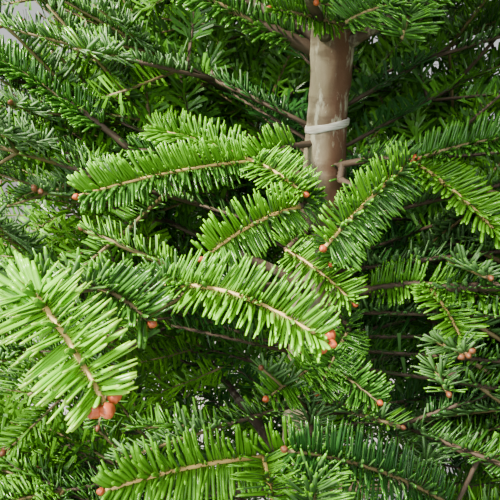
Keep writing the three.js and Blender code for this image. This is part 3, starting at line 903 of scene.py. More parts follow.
def blunt_needle():
    """A needle seen from further off: a point, two sections of three corners, and a blunt end."""
    corners = [(0.0, 0, 0)]
    for share, width in BLUNT_STATIONS:
        corners += [(share, -width, BLUNT_TOP), (share, width, BLUNT_TOP), (share, 0, -BLUNT_KEEL)]
    triangles = [(0, 1, 2), (0, 2, 3), (0, 3, 1)]
    kinds = [UPPER, UNDERSIDE, UNDERSIDE]
    for a, b, kind in ((1, 2, UPPER), (2, 3, UNDERSIDE), (3, 1, UNDERSIDE)):
        triangles += [(a, a + 3, b), (b, a + 3, b + 3)]
        kinds += [kind, kind]
    triangles.append((4, 6, 5))
    kinds.append(UPPER)
    return np.array(corners), np.array(triangles), np.array(kinds)


def plain_needle():
    """A needle seen from further still: a slightly twisted blade with four corners."""
    corners = [(0.0, -0.55, 0), (0.0, 0.55, 0.5), (1.0, -0.85, 0.5), (1.0, 0.85, 0)]
    triangles = [(0, 2, 1), (1, 2, 3), (0, 3, 2), (0, 1, 3)]
    return np.array(corners), np.array(triangles), np.array([UPPER, UPPER, UNDERSIDE, UNDERSIDE])


class Detail(NamedTuple):
    """How finely shoots within a range of the camera are made.

    needle makes the shape of one needle, per_metre is how many stand on a metre of shoot, and wider
    is how much wider than life they are. twig and bud are each a number of sides and one of rows.
    """

    name: str
    needle: object
    per_metre: int
    wider: float
    twig: tuple
    bud: tuple
    smooth: bool


DETAILS = (
    Detail("fine", fine_needle, 1600, wider=1.15, twig=(8, 14), bud=(12, 8), smooth=True),
    Detail("blunt", blunt_needle, 860, wider=1.3, twig=(5, 4), bud=(6, 4), smooth=True),
    Detail("slim", plain_needle, 520, wider=1.55, twig=(3, 3), bud=(4, 2), smooth=False),
    Detail("far", plain_needle, 350, wider=1.95, twig=(3, 2), bud=(3, 2), smooth=False),
)
DETAIL_RANGES = (0.385, 0.5, 0.8)
PIECE_TRIANGLES = 180000


def shoot_detail(shoots):
    """The detail of each shoot: finer towards the camera, and the plainest out of its view."""
    _, _, distance, seen = seen_at((shoots["start"] + shoots["end"]) / 2)
    level = np.where(seen, np.searchsorted(DETAIL_RANGES, distance), len(DETAIL_RANGES))
    return np.where(shoots["level"] >= 0, shoots["level"], level)


# Greens, as shares of the way from the oldest to the youngest. The needles' materials are these
# tints, then the tips of the youngest, then the undersides. Each near needle's tip is one tint
# lighter than the rest of it: a painted highlight.

# The last step, lighter than the youngest green, is partly painted sunlight.
GREEN_STEPS = (0.04, 0.2, 0.42, 0.68, 1.0, 1.35)
TINTS = len(GREEN_STEPS)
UNDERSIDE_SLOT = TINTS + 1
LUCK_SHIFT = 5.1
YOUNG_TINT = 3
YOUNG_DARKER = 0.35
YOUNG_LIGHTER = 0.8
GROWN_TINT = 2
GROWN_DARKER = 0.5
OLDEST_DARKEST = 0.7


def spray_tints(shoots):
    """The tint of each spray: young outer shoots are lighter, old inner ones darker.

    Some of the young are one tint darker and a few one lighter. Of those a year older some are one
    tint darker, and most of the oldest have the darkest tint.
    """
    wave = np.sin(shoots["key"] * WAVE_RATE + LUCK_SHIFT) * WAVE_SCALE
    luck = wave - np.floor(wave)
    young = YOUNG_TINT - (luck < YOUNG_DARKER) + (luck > YOUNG_LIGHTER)
    grown = GROWN_TINT - (luck < GROWN_DARKER)
    oldest = np.where(luck < OLDEST_DARKEST, 0, 1)
    tint = np.where(shoots["age"] <= 0, young, np.where(shoots["age"] >= 2, oldest, grown))
    tint = np.where(shoots["tint"] >= 0, shoots["tint"], tint)
    return np.clip(tint, 0, TINTS - 1).astype(int)


# How needles stand. A turn is in degrees round the shoot from its upper side, and an angle in
# degrees from the way that it grows. Ranks are shares of all needles.

SIDE_RANKS = 0.54
MIDDLE_RANKS = 0.84
FULL_CHANCE = 0.3
SIDE_TURNS = (62, 84)
MIDDLE_TURNS = (40, 62)
TOP_TURNS = (4, 36)
FULL_TURNS = (4, 88)
SIDE_NEEDLE_ANGLE = 86
TOP_NEEDLE_ANGLE = 72
NEEDLE_ANGLE_SPREAD = 3.5
NEEDLE_LEAN = 18
NEEDLE_TIP_LEAN = 12
LAST_NEEDLE = 0.965
TIP_FROM = 0.82
TIP_SPAN = 0.18
FOOT_SPAN = 0.12
TIP_SHORTER = 0.35
FOOT_SHORTER = 0.3
SIDE_LENGTH = 1.0
MIDDLE_LENGTH = 0.86
TOP_LENGTH = 0.6
LENGTH_SPREAD = (0.86, 1.08)
WIDTH_SPREAD = (0.88, 1.1)
FACING_BACK = 0.3
FACING_SPREAD = 0.26
FACING_OUT = 0.2
SOCKET_DEPTH = 0.7
CURVE_AHEAD = 0.04
CURVE_UP = 0.05


def needles_wanted(shoots, which, detail, settings):
    """How many needles each chosen shoot should bear: so many a metre, without its bare foot."""
    length = np.linalg.norm(shoots["end"][which] - shoots["start"][which], axis=1)
    return length * (1 - shoots["bare"][which]) * detail.per_metre * settings.needle_count


def needle_turns(shoots, shoot, hand, dice):
    """Each needle's turn round its shoot, and the masks of the side ranks and of the middle ones.

    Most needles lie in wide side ranks and some in middle ones. The rest stand near the top, and
    leave a V along it. Where a shoot's tint is left to its age, some stand anywhere from top to side
    instead, and on the leader all stand right round.
    """
    count = len(shoot)
    rank = dice.random(count)
    side = rank < SIDE_RANKS
    middle = (rank >= SIDE_RANKS) & (rank < MIDDLE_RANKS)
    full = (shoots["tint"][shoot] < 0) & (dice.random(count) < FULL_CHANCE)
    turn = np.where(side, dice.uniform(*SIDE_TURNS, count), dice.uniform(*TOP_TURNS, count))
    turn = np.where(full, dice.uniform(*FULL_TURNS, count), turn)
    turn = np.where(middle & ~full, dice.uniform(*MIDDLE_TURNS, count), turn)
    turn = np.where(shoots["age"][shoot] < 0, dice.uniform(0, 180, count), turn)
    return np.radians(turn) * hand, side, middle | full


def needle_axes(shoots, which, own, turn, angle, dice):
    """The ways that each needle stands off its shoot, points, is wide, is thick, and curves.

    It points along the shoot and outwards by the cosine and sine of its angle. Its face looks up and
    a little back, and on the leader towards the tip.
    """
    along, across, up = (axis[own] for axis in shoot_frames(shoots, which))
    out = np.cos(turn)[:, None] * up + np.sin(turn)[:, None] * across
    point = unit(np.cos(angle)[:, None] * along + np.sin(angle)[:, None] * out)
    facing = unit(up - FACING_BACK * along + FACING_SPREAD * dice.normal(0, 1, (len(own), 3)))
    on_leader = shoots["age"][which[own]][:, None] < 0
    facing = np.where(on_leader, unit(along + FACING_OUT * out), facing)
    wide = unit(np.cross(facing, point))
    return out, point, wide, np.cross(point, wide), along * CURVE_AHEAD + up * CURVE_UP


def lay_needles(shoots, which, detail, settings, seed):
    """Needles on chosen shoots. Each leaves its shoot at a turn round it and an angle to it.

    Side needles stand out wide, and upper ones are shorter and lean forward. All get shorter towards
    both ends of the shoot, and curve a little forward and up with the square of the share.
    Returns the surface, and the number of each triangle's material.
    """
    dice = np.random.default_rng(seed)
    counts = np.maximum(needles_wanted(shoots, which, detail, settings).astype(int), 2)
    own = np.repeat(np.arange(len(which)), counts)
    shoot, count = which[own], len(own)
    step = np.arange(count) - np.repeat(np.cumsum(counts) - counts, counts)
    hand = np.where(step % 2 == 0, 1.0, -1.0)
    bare = shoots["bare"][shoot]
    share = np.minimum(bare + (1 - bare) * (step + dice.random(count)) / counts[own], LAST_NEEDLE)
    turn, side, middle = needle_turns(shoots, shoot, hand, dice)

    near_tip = np.clip((share - TIP_FROM) / TIP_SPAN, 0, 1)
    near_foot = np.clip((FOOT_SPAN - share + bare) / FOOT_SPAN, 0, 1)
    angle = np.where(side, SIDE_NEEDLE_ANGLE, TOP_NEEDLE_ANGLE)
    angle = angle + dice.normal(0, NEEDLE_ANGLE_SPREAD, count)
    angle = angle - NEEDLE_LEAN * share - NEEDLE_TIP_LEAN * near_tip - shoots["lean"][shoot]
    out, point, wide, thick, curve = needle_axes(shoots, which, own, turn, np.radians(angle), dice)

    size = np.where(side, SIDE_LENGTH, np.where(middle, MIDDLE_LENGTH, TOP_LENGTH))
    size = size * dice.uniform(*LENGTH_SPREAD, count)
    length = settings.needle_length * size * (1 - TIP_SHORTER * near_tip - FOOT_SHORTER * near_foot)
    half = settings.needle_width / 2 * detail.wider * dice.uniform(*WIDTH_SPREAD, count)
    radii = shoots["radii"][shoot]
    depth = blend(radii[:, 0], radii[:, 1], share) * SOCKET_DEPTH
    start = shoot_paths(shoots, shoot, share[:, None])[:, 0] + out * depth[:, None]

    corners, triangles, kinds = detail.needle()
    forth, beside, above = corners.T[:, None, :, None]
    curved = curve[:, None] * (forth * forth) * length[:, None, None]
    spots = start[:, None] + point[:, None] * forth * length[:, None, None] + curved
    spots = spots + wide[:, None] * beside * half[:, None, None]
    spots = spots + thick[:, None] * (settings.needle_thickness * above)

    # The needles on one side of a shoot are shade tints darker: painted shade.
    green = spray_tints(shoots)[shoot] - shoots["shade"][shoot] * (hand > 0)
    green = np.clip(green, 0, TINTS - 1).astype(int)
    kinds = np.tile(kinds, count)
    # The tip of each near needle is one tint lighter: a painted highlight.
    tint = np.repeat(green, len(triangles)) + (kinds == TIP)
    return spread_template(spots, triangles), np.where(kinds == UNDERSIDE, UNDERSIDE_SLOT, tint)


def needle_pieces(settings, materials):
    """All needles, joined by detail into pieces that each stay under the triangle limit."""
    shoots = grown_shoots()
    detail_of = shoot_detail(shoots)
    for level, detail in enumerate(DETAILS):
        which = np.flatnonzero(detail_of == level)
        triangles_each = len(detail.needle()[1])
        total = np.cumsum(needles_wanted(shoots, which, detail, settings) * triangles_each)
        parcels = np.floor(total / PIECE_TRIANGLES).astype(int)
        for parcel in np.unique(parcels):
            chosen = which[parcels == parcel]
            seed = 100 * level + int(parcel)
            surface, kinds = lay_needles(shoots, chosen, detail, settings, seed)
            name = f"needles_{detail.name}_{parcel + 1}"
            make_piece(name, surface, materials, kinds, detail.smooth)


# Buds.

BUD_FOOT = 0.04
BUD_SPAN = 0.9
BUD_FULLEST = 0.8
BUD_ROUNDNESS = 0.75
BUD_TURNS = (0, 84, -84)
BUD_TURN_SPREAD = 7
BUD_LIFT = 0.3
BUD_LENGTH_SPREAD = (0.85, 1.15)
BUD_APART = 0.0047
LONE_BUD_AHEAD = 0.0026
LONE_BUD_SIZE = 0.85
BUD_SCALE_RELIEF = 0.1
BUD_SCALES_ROUND = 4
BUD_SCALES_ALONG = 16


def bud_template(sides, rows):
    """An egg with a pointed tip: its radius is a sine of a power of the share, made rounder."""
    stations = []
    for i in range(rows):
        share = BUD_FOOT + BUD_SPAN * i / (rows - 1)
        stations.append((share, math.sin(math.pi * share**BUD_FULLEST) ** BUD_ROUNDNESS))
    return ring_template(stations, sides)


def lay_buds(shoots, which, sides, rows, settings, seed):
    """Buds at each chosen tip: one straight on, and on some tips one more to each side."""
    dice = np.random.default_rng(seed)
    corners, triangles = bud_template(sides, rows)
    share, turns, size = corners.T
    scales = 1 + BUD_SCALE_RELIEF * np.sin(BUD_SCALES_ROUND * turns + BUD_SCALES_ALONG * share)
    parts = []
    for bud_turn in BUD_TURNS:
        chosen = which[shoots["buds"][which] >= (CLUSTER if bud_turn else 1)]
        count = len(chosen)
        along, across, up = shoot_frames(shoots, chosen)
        cluster = shoots["buds"][chosen] >= CLUSTER
        angle = np.radians(bud_turn + dice.normal(0, BUD_TURN_SPREAD, count))[:, None]
        lift = dice.uniform(0.0, BUD_LIFT, (count, 1))
        ahead = unit(np.cos(angle) * along + np.sin(angle) * across + lift * up)
        sideways = unit(np.cross(up, ahead))
        upward = np.cross(ahead, sideways)
        length = settings.bud_length * np.where(cluster, 1, LONE_BUD_SIZE)
        length = (length * dice.uniform(*BUD_LENGTH_SPREAD, count))[:, None, None]
        radius = length * settings.bud_plumpness / 2 * (size * scales)[None, :, None]
        stand_off = np.where(cluster, BUD_APART, LONE_BUD_AHEAD)[:, None, None]
        reach = (share - 0.5)[None, :, None] * length + stand_off
        centre = shoots["end"][chosen][:, None] + ahead[:, None] * reach
        ring = directions_round(turns, sideways, upward)
        parts.append(spread_template(centre + ring * radius, triangles))
    return joined(parts)


# Bark.


def surface_grid(rows, columns, ring=False):
    """Triangles of a tube's grid whose columns close on themselves. A ring's rows close too."""
    row, column = np.meshgrid(np.arange(rows if ring else rows - 1), np.arange(columns), indexing="ij")
    after_row, after_column = (row + 1) % rows, (column + 1) % columns
    a, b = row * columns + column, row * columns + after_column
    c, d = after_row * columns + column, after_row * columns + after_column
    lower = np.stack([a, b, c], axis=-1)
    upper = np.stack([b, d, c], axis=-1)
    return np.stack([lower, upper], axis=2).reshape(-1, 3)


def closed_tube(points, rows, columns):
    """A tube's surface from the corners of its grid, with a corner in the middle of each end."""
    ends = np.array([points[:columns].mean(axis=0), points[-columns:].mean(axis=0)])
    column = np.arange(columns)
    after = (column + 1) % columns
    middle = np.full(columns, rows * columns)
    base = (rows - 1) * columns
    foot = np.stack([middle, after, column], axis=-1)
    top = np.stack([middle + 1, base + column, base + after], axis=-1)
    return np.concatenate([points, ends]), np.concatenate([surface_grid(rows, columns), foot, top])


def grid_shares(rows, columns):
    """The share along a tube and the share round it, for each corner of its grid."""
    shares = np.meshgrid(np.linspace(0, 1, rows), np.arange(columns) / columns, indexing="ij")
    return shares[0].ravel(), shares[1].ravel()


def smooth_noise(u, v, cells, seed):
    """Soft hills between random grid heights; u runs round and closes, v runs along."""
    dice = np.random.default_rng(seed)
    u_cells, v_cells = cells
    heights = dice.random((v_cells + 2, u_cells))
    x = (u % 1.0) * u_cells
    y = np.clip(v, 0, 1) * v_cells
    left, low = np.floor(x).astype(int), np.floor(y).astype(int)
    fx, fy = x - left, y - low
    fx, fy = fx * fx * (3 - 2 * fx), fy * fy * (3 - 2 * fy)
    right = (left + 1) % u_cells
    left = left % u_cells
    lower = blend(heights[low, left], heights[low, right], fx)
    upper = blend(heights[low + 1, left], heights[low + 1, right], fx)
    return blend(lower, upper, fy)


# Cells of the bark's noises are (round the trunk, along it), and heights are shares of its relief.
TRUNK_ROWS = 320
TRUNK_COLUMNS = 48
RIDGE_CELLS = (16, 30)
RIDGE_HEIGHT = 1.1
RIDGE_SWAY = 0.05
RIDGE_SWAY_RATE = 9
KNOB_CELLS = (10, 120)
KNOB_HEIGHT = 1.3
GRAIN_CELLS = (36, 260)
GRAIN_HEIGHT = 0.6
FULL_RELIEF_RADIUS = 0.02
LEAST_RELIEF = 0.25
LOBES = 3
LOBE_TWIST = 4
LOBE_SWELL = 0.015


def trunk_surface(settings):
    """The trunk's circle at each height, raised by long ridges, low knobs and narrow bark cracks."""
    v, u = grid_shares(TRUNK_ROWS, TRUNK_COLUMNS)
    height = blend(TRUNK_FOOT, TRUNK_TIP, v)
    radius = trunk_radius(height)
    ridges = smooth_noise(u + RIDGE_SWAY * np.sin(RIDGE_SWAY_RATE * v), v, RIDGE_CELLS, 1) - 0.5
    knobs = smooth_noise(u, v, KNOB_CELLS, 2) ** 3
    grain = smooth_noise(u, v, GRAIN_CELLS, 3) - 0.5
    fade = np.clip(radius / FULL_RELIEF_RADIUS, LEAST_RELIEF, 1)
    relief = RIDGE_HEIGHT * ridges + KNOB_HEIGHT * knobs + GRAIN_HEIGHT * grain
    lobes = 1 + LOBE_SWELL * np.sin(2 * math.pi * LOBES * u + LOBE_TWIST * v)
    grown = radius * lobes + settings.bark_relief * fade * relief
    turn = 2 * math.pi * u
    ring = np.stack([np.cos(turn) * grown, np.sin(turn) * grown, np.zeros_like(u)], axis=-1)
    return closed_tube(trunk_centre(height) + ring, TRUNK_ROWS, TRUNK_COLUMNS)


BOUGH_ROWS = 28
BOUGH_COLUMNS = 14
BOUGH_SUNK = 0.006
BOUGH_OVERLAP = 0.02
BOUGH_COLLAR_SWELL = 0.5
BOUGH_COLLAR_LENGTH = 0.013
BOUGH_CELLS = (8, 16)
BOUGH_RELIEF = 0.7


def bough_surface(plan, settings, seed):
    """A bough from just inside the trunk to its foliage, with a collar at its root and fine relief."""
    v, u = grid_shares(BOUGH_ROWS, BOUGH_COLUMNS)
    root = (trunk_radius(plan["height"]) - BOUGH_SUNK) / plan["reach"]
    share = blend(root, plan["bare"] + BOUGH_OVERLAP, v)
    _, side, up = bough_frame(plan, share)
    from_root = (share - root) * plan["reach"]
    collar = BOUGH_COLLAR_SWELL * np.exp(-((from_root / BOUGH_COLLAR_LENGTH) ** 2))
    relief = settings.bark_relief * BOUGH_RELIEF * (smooth_noise(u, v, BOUGH_CELLS, seed) - 0.5)
    radius = bough_radius(plan, share) * (1 + collar) + relief
    turn = 2 * math.pi * u[:, None]
    ring = np.cos(turn) * side + np.sin(turn) * up
    return closed_tube(bough_point(plan, share) + ring * radius[:, None], BOUGH_ROWS, BOUGH_COLUMNS)


# The strap round the trunk.

TIE_HEIGHT = 1.112
TIE_WIDTH = 0.007
TIE_THICKNESS = 0.0016
TIE_ROWS = 12
TIE_COLUMNS = 64
TIE_TILT = 0.2
TIE_LAP = 0.35
TIE_SUNK = 0.1
TIE_DEPTH = 0.75
TIE_WAVES = 5
TIE_WAVE_SWELL = 0.06
TIE_SQUARENESS = 0.5


def squared(wave):
    """A sine or cosine pushed out towards 1 and -1, which makes a circle a rounded oblong."""
    return np.sign(wave) * np.abs(wave) ** TIE_SQUARENESS


def tie_surface():
    """A strap round the trunk: a rounded oblong section carried round it, tilted, with a lapped end.

    The section is a superellipse of the row's turn, and the lap adds a step that fades round the strap.
    """
    row, column = np.divmod(np.arange(TIE_ROWS * TIE_COLUMNS), TIE_COLUMNS)
    section = 2 * math.pi * row / TIE_ROWS
    turn = 2 * math.pi * column / TIE_COLUMNS
    lap = 1 + TIE_LAP * (column / TIE_COLUMNS)
    depth = TIE_SUNK + TIE_DEPTH * squared(np.cos(section)) * lap
    radius = trunk_radius(TIE_HEIGHT) + TIE_THICKNESS * depth
    centre = trunk_centre(TIE_HEIGHT)
    beside = np.cos(turn) * radius
    waves = 1 + TIE_WAVE_SWELL * np.sin(TIE_WAVES * turn)
    level = squared(np.sin(section)) * TIE_WIDTH / 2 * waves + TIE_TILT * beside
    points = np.stack([centre[0] + beside, centre[1] + np.sin(turn) * radius, centre[2] + level], axis=-1)
    return points, surface_grid(TIE_ROWS, TIE_COLUMNS, ring=True)


# Materials.


class Shader:
    """Wraps a socket of a node tree, so that maths on it is written as plain expressions."""

    def __init__(self, tree, socket):
        self.tree = tree
        self.socket = socket

    def _maths(self, operation, first, second):
        made = self.tree.nodes.new("ShaderNodeMath")
        made.operation = operation
        for slot, value in zip(made.inputs, (first, second)):
            if isinstance(value, Shader):
                self.tree.links.new(value.socket, slot)
            else:
                slot.default_value = value
        return Shader(self.tree, made.outputs[0])

    def __add__(self, other):
        return self._maths("ADD", self, other)

    __radd__ = __add__

    def __mul__(self, other):
        return self._maths("MULTIPLY", self, other)

    __rmul__ = __mul__

    def __sub__(self, other):
        return self._maths("SUBTRACT", self, other)

    def __rsub__(self, other):
        return self._maths("SUBTRACT", other, self)


class Finish:
    """One material: a surface shader, and a method that adds any other node."""

    def __init__(self, name, roughness, colour=(0.5, 0.5, 0.5), **constants):
        self.material = bpy.data.materials.new(name)
        self.material.use_nodes = True
        self.tree = self.material.node_tree
        self.surface = self.tree.nodes["Principled BSDF"]
        self.surface.inputs["Base Color"].default_value = (*colour, 1)
        self.surface.inputs["Roughness"].default_value = roughness
        for socket, value in constants.items():
            self.surface.inputs[socket.replace("_", " ")].default_value = value

    def node(self, kind, settings=None, output=0, **sockets):
        """Adds a node of a type, sets it up, then fills or links its sockets.

        A socket goes by its name, or where several share one name by an i and its number.
        """
        made = self.tree.nodes.new(f"ShaderNode{kind}")
        for name, value in (settings or {}).items():
            if name == "stops":
                self.set_stops(made.color_ramp, value)
            else:
                setattr(made, name, value)
        for name, value in sockets.items():
            key = int(name[1:]) if name[1:].isdigit() else name.replace("_", " ")
            if isinstance(value, Shader):
                self.tree.links.new(value.socket, made.inputs[key])
            else:
                made.inputs[key].default_value = value
        return Shader(self.tree, made.outputs[output])

    @staticmethod
    def set_stops(ramp, stops):
        """Places a ramp's stops, each a position and a colour."""
        while len(ramp.elements) < len(stops):
            ramp.elements.new(1.0)
        for element, (position, colour) in zip(ramp.elements, stops):
            element.position = position
            element.color = (*colour, 1)

    def feed(self, **sockets):
        """Links results to the surface shader's sockets."""
        for name, value in sockets.items():
            self.tree.links.new(value.socket, self.surface.inputs[name.replace("_", " ")])
        return self.material


# Numbers of the outputs that hold a place on the object, a mixed colour, and an upward part.
OBJECT_PLACE = 3
MIXED_COLOUR = 2
HEIGHT_AXIS = 2

TRUNK_SKIN = ((0.3, (0.08, 0.063, 0.036)), (0.5, (0.205, 0.175, 0.105)), (0.68, (0.42, 0.385, 0.27)))
BOUGH_SKIN = ((0.3, (0.035, 0.024, 0.014)), (0.55, (0.075, 0.05, 0.028)), (0.75, (0.14, 0.105, 0.065)))
BAND_STOPS = ((0.36, (0.3, 0.24, 0.2)), (0.5, (1, 1, 1)))
LICHEN_STOPS = ((0.54, (0, 0, 0)), (0.62, (1, 1, 1)))
# The dark red-brown of the trunk's side away from the light: partly bark colour, partly painted shade.
RUSSET_SHADE = (0.115, 0.045, 0.02, 1)
LICHEN = (0.47, 0.47, 0.34, 1)

# How patterns are stretched along the trunk and across it, and how the red-brown painted shade on
# the side away from the key light sets in: the shares that it gains for each metre across and up,
# at the trunk's middle, and lacks at the ground.
LONG_STRETCH = 0.35
FLAT_STRETCH = 3.2
RUSSET_SHADE_ACROSS = 60.0
RUSSET_SHADE_UPWARDS = 2.2
RUSSET_SHADE_AT_MIDDLE = 0.3
RUSSET_SHADE_AT_GROUND = 1.2


def bark_finish(name, colours, scale, russet_shade, lichen):
    """Bark: grey skin over warm brown, with pale specks and short dark bands across.

    russet_shade is how far the side away from the light turns a dark red-brown, less and less
    towards the foot: partly the bark's own red-brown and partly painted shade. lichen is how far
    pale grey-green patches cover the bark.
    """
    finish = Finish(name, 0.8)
    place = finish.node("TexCoord", output=OBJECT_PLACE)
    long = finish.node("Mapping", Vector=place, Scale=(scale, scale, scale * LONG_STRETCH))
    flat = finish.node("Mapping", Vector=place, Scale=(scale, scale, scale * FLAT_STRETCH))
    broad = finish.node("TexNoise", Vector=long, Scale=14.0, Detail=6.0, Roughness=0.62)
    bands = finish.node("TexNoise", Vector=flat, Scale=26.0, Detail=3.0, Roughness=0.5)
    fine = finish.node("TexNoise", Vector=place, Scale=420.0, Detail=3.0)
    blots = finish.node("TexNoise", Vector=long, Scale=52.0, Detail=5.0, Roughness=0.7)
    skin = finish.node("ValToRGB", {"stops": colours}, Fac=broad)
    dark = finish.node("ValToRGB", {"stops": BAND_STOPS}, Fac=bands)
    cover = {"data_type": "RGBA"}
    darken = {"data_type": "RGBA", "blend_type": "MULTIPLY"}
    colour = finish.node("Mix", darken, MIXED_COLOUR, i0=0.7, i6=skin, i7=dark)
    # The side away from the key light turns dark red-brown: painted shade over the bark's own red-brown.
    if russet_shade:
        across = finish.node("SeparateXYZ", Vector=place)
        height = finish.node("SeparateXYZ", None, HEIGHT_AXIS, Vector=place)
        side = finish.node("Clamp", Value=across * RUSSET_SHADE_ACROSS + RUSSET_SHADE_AT_MIDDLE)
        upper = finish.node("Clamp", Value=height * RUSSET_SHADE_UPWARDS - RUSSET_SHADE_AT_GROUND)
        reddened_shade = side * upper * russet_shade
        colour = finish.node("Mix", cover, MIXED_COLOUR, i0=reddened_shade, i6=colour, i7=RUSSET_SHADE)
    patches = finish.node("ValToRGB", {"stops": LICHEN_STOPS}, Fac=blots)
    covered = patches * lichen
    colour = finish.node("Mix", cover, MIXED_COLOUR, i0=covered, i6=colour, i7=LICHEN)
    relief = broad * 0.6 + bands * 0.3 + fine * 0.2 + patches * 0.25
    bump = finish.node("Bump", Strength=0.8, Distance=0.0018, Height=relief)
    return finish.feed(Base_Color=colour, Roughness=0.62 + 0.3 * fine, Normal=bump)


TIMBER_SKIN = ((0.3, (0.40, 0.25, 0.12)), (0.52, (0.60, 0.42, 0.24)), (0.75, (0.72, 0.55, 0.36)))
ACROSS_GRAIN = 26.0
ALONG_GRAIN = 1.6


def timber_finish(name, along):
    """Sawn softwood: long grain along one axis, with broad and fine streaks."""
    finish = Finish(name, 0.6)
    place = finish.node("TexCoord", output=OBJECT_PLACE)
    stretch = tuple(ALONG_GRAIN if axis == along else ACROSS_GRAIN for axis in range(3))
    grain_place = finish.node("Mapping", Vector=place, Scale=stretch)
    grain = finish.node("TexNoise", Vector=grain_place, Scale=1.6, Detail=4.0, Distortion=0.6)
    fibre = finish.node("TexNoise", Vector=grain_place, Scale=9.0, Detail=3.0)
    skin = finish.node("ValToRGB", {"stops": TIMBER_SKIN}, Fac=grain * 0.75 + fibre * 0.25)
    bump = finish.node("Bump", Strength=0.35, Distance=0.0008, Height=fibre)
    return finish.feed(Base_Color=skin, Roughness=0.5 + 0.25 * fibre, Normal=bump)


STRAP_SKIN = ((0.35, (0.33, 0.32, 0.25)), (0.6, (0.56, 0.55, 0.48)))


def strap_finish():
    """A pale woven strap: fine ribs round it, and faint stains."""
    finish = Finish("tie_band", 0.6)
    place = finish.node("TexCoord", output=OBJECT_PLACE)
    flat = finish.node("Mapping", Vector=place, Scale=(1.0, 1.0, 14.0))
    ribs = finish.node("TexNoise", Vector=flat, Scale=90.0, Detail=3.0)
    skin = finish.node("ValToRGB", {"stops": STRAP_SKIN}, Fac=ribs)
    bump = finish.node("Bump", Strength=0.5, Distance=0.0004, Height=ribs)
    return finish.feed(Base_Color=skin, Normal=bump)


# Timber.

MERGE_DISTANCE = 0.00001
FLAT_ANGLE = math.radians(1)
EDGE_SEGMENTS = 2


def worn_copy(name, material, edge):
    """A copy of a timber node with its corners merged, flat sides whole and sharp edges rounded."""
    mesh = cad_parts[name].data.copy()
    mesh.name = f"{name}_worn"
    shape = bmesh.new()
    shape.from_mesh(mesh)
    bmesh.ops.remove_doubles(shape, verts=shape.verts, dist=MERGE_DISTANCE)
    bmesh.ops.dissolve_limit(shape, angle_limit=FLAT_ANGLE, verts=shape.verts, edges=shape.edges)
    shape.to_mesh(mesh)
    shape.free()
    mesh.materials.clear()
    mesh.materials.append(material)
    piece = bpy.data.objects.new(mesh.name, mesh)
    bpy.context.scene.collection.objects.link(piece)
    rounding = piece.modifiers.new("edges", "BEVEL")
    rounding.width = edge
    rounding.segments = EDGE_SEGMENTS
    rounding.limit_method = "ANGLE"
    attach(piece, BODY)
    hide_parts(name)


# Settings.


def size_setting(name, description, default):
    """A length that a user may change."""
    return FloatProperty(name=name, description=description, default=default, unit="LENGTH")


def power_setting(name, description, default):
    """A lamp's power that a user may change."""
    return FloatProperty(name=name, description=description, default=default, unit="POWER")


def number_setting(name, description, default, least=0.0):
    """A plain number that a user may change."""
    return FloatProperty(name=name, description=description, default=default, min=least)


def colour_setting(name, description, *default):
    """A colour that a user may change."""
    return FloatVectorProperty(name=name, description=description, default=default, subtype="COLOR")


class NeedleSettings(PropertyGroup):
    """Sizes and greens of the needles."""

    needle_length: size_setting("Needle length", "Longest needles on a shoot's sides", 0.0235)
    needle_width: size_setting("Needle width", "Width across a needle's blade", 0.0025)
    needle_thickness: size_setting("Needle thickness", "Depth of a needle's keel", 0.0009)
    needle_count: number_setting("Needle count", "Share of the full number of needles", 1.0, least=0.05)
    oldest: colour_setting("Oldest green", "Needles deep in the crown", 0.014, 0.072, 0.014)
    youngest: colour_setting("Youngest green", "Needles on sunlit tips", 0.135, 0.41, 0.012)
    # The lighter tips of the youngest needles are a painted highlight.
    needle_tip: colour_setting("Needle tips", "Ends of the youngest needles", 0.24, 0.5, 0.025)
    # The undersides' green is partly the pale bands' own colour and partly painted shade, darker than the
    # bands are.
    underside: colour_setting("Underside", "Pale bands below a needle", 0.06, 0.15, 0.035)


class TwigSettings(PropertyGroup):
    """Colours of the twigs, and the buds at their tips."""

    young: colour_setting("Young shoot", "Skin of this year's shoots", 0.62, 0.44, 0.13)
    shaded: colour_setting("Shaded shoot", "Skin of shoots deeper in", 0.17, 0.13, 0.05)
    old: colour_setting("Old twig", "Bark of older twigs", 0.065, 0.042, 0.024)
    bud: colour_setting("Bud", "Scales of sunlit buds", 0.42, 0.085, 0.022)
    shaded_bud: colour_setting("Shaded bud", "Scales of buds deeper in", 0.16, 0.055, 0.02)
    bud_length: size_setting("Bud length", "Length of a bud", 0.0066)
    bud_plumpness: number_setting("Bud plumpness", "Width of a bud over its length", 0.86)


class BarkSettings(PropertyGroup):
    """Relief of the bark on trunk and boughs."""

    bark_relief: size_setting("Bark relief", "Height of the bark's ridges", 0.0016)


class StandSettings(PropertyGroup):
    """The wooden stand's finish."""

    edge_round: size_setting("Edge", "Width of the worn edges of the timber", 0.0015)


class StageSettings(PropertyGroup):
    """Floor, light and camera."""

    floor: colour_setting("Floor", "Colour of the floor", 0.6, 0.59, 0.57)
    key_power: power_setting("Key light", "Power of the key light", 400.0)
    fill_power: power_setting("Fill light", "Power of the fill light", 100.0)
    sky_strength: number_setting("Room light", "Strength of the even light of the room", 0.82)


# Steps. Each builds one piece or a group of like pieces.

TRUNK_FINISH = {"colours": TRUNK_SKIN, "scale": 1.0, "russet_shade": 0.9, "lichen": 0.7}
BOUGH_FINISH = {"colours": BOUGH_SKIN, "scale": 1.6, "russet_shade": 0.0, "lichen": 0.25}
BOUGH_SEED = 50


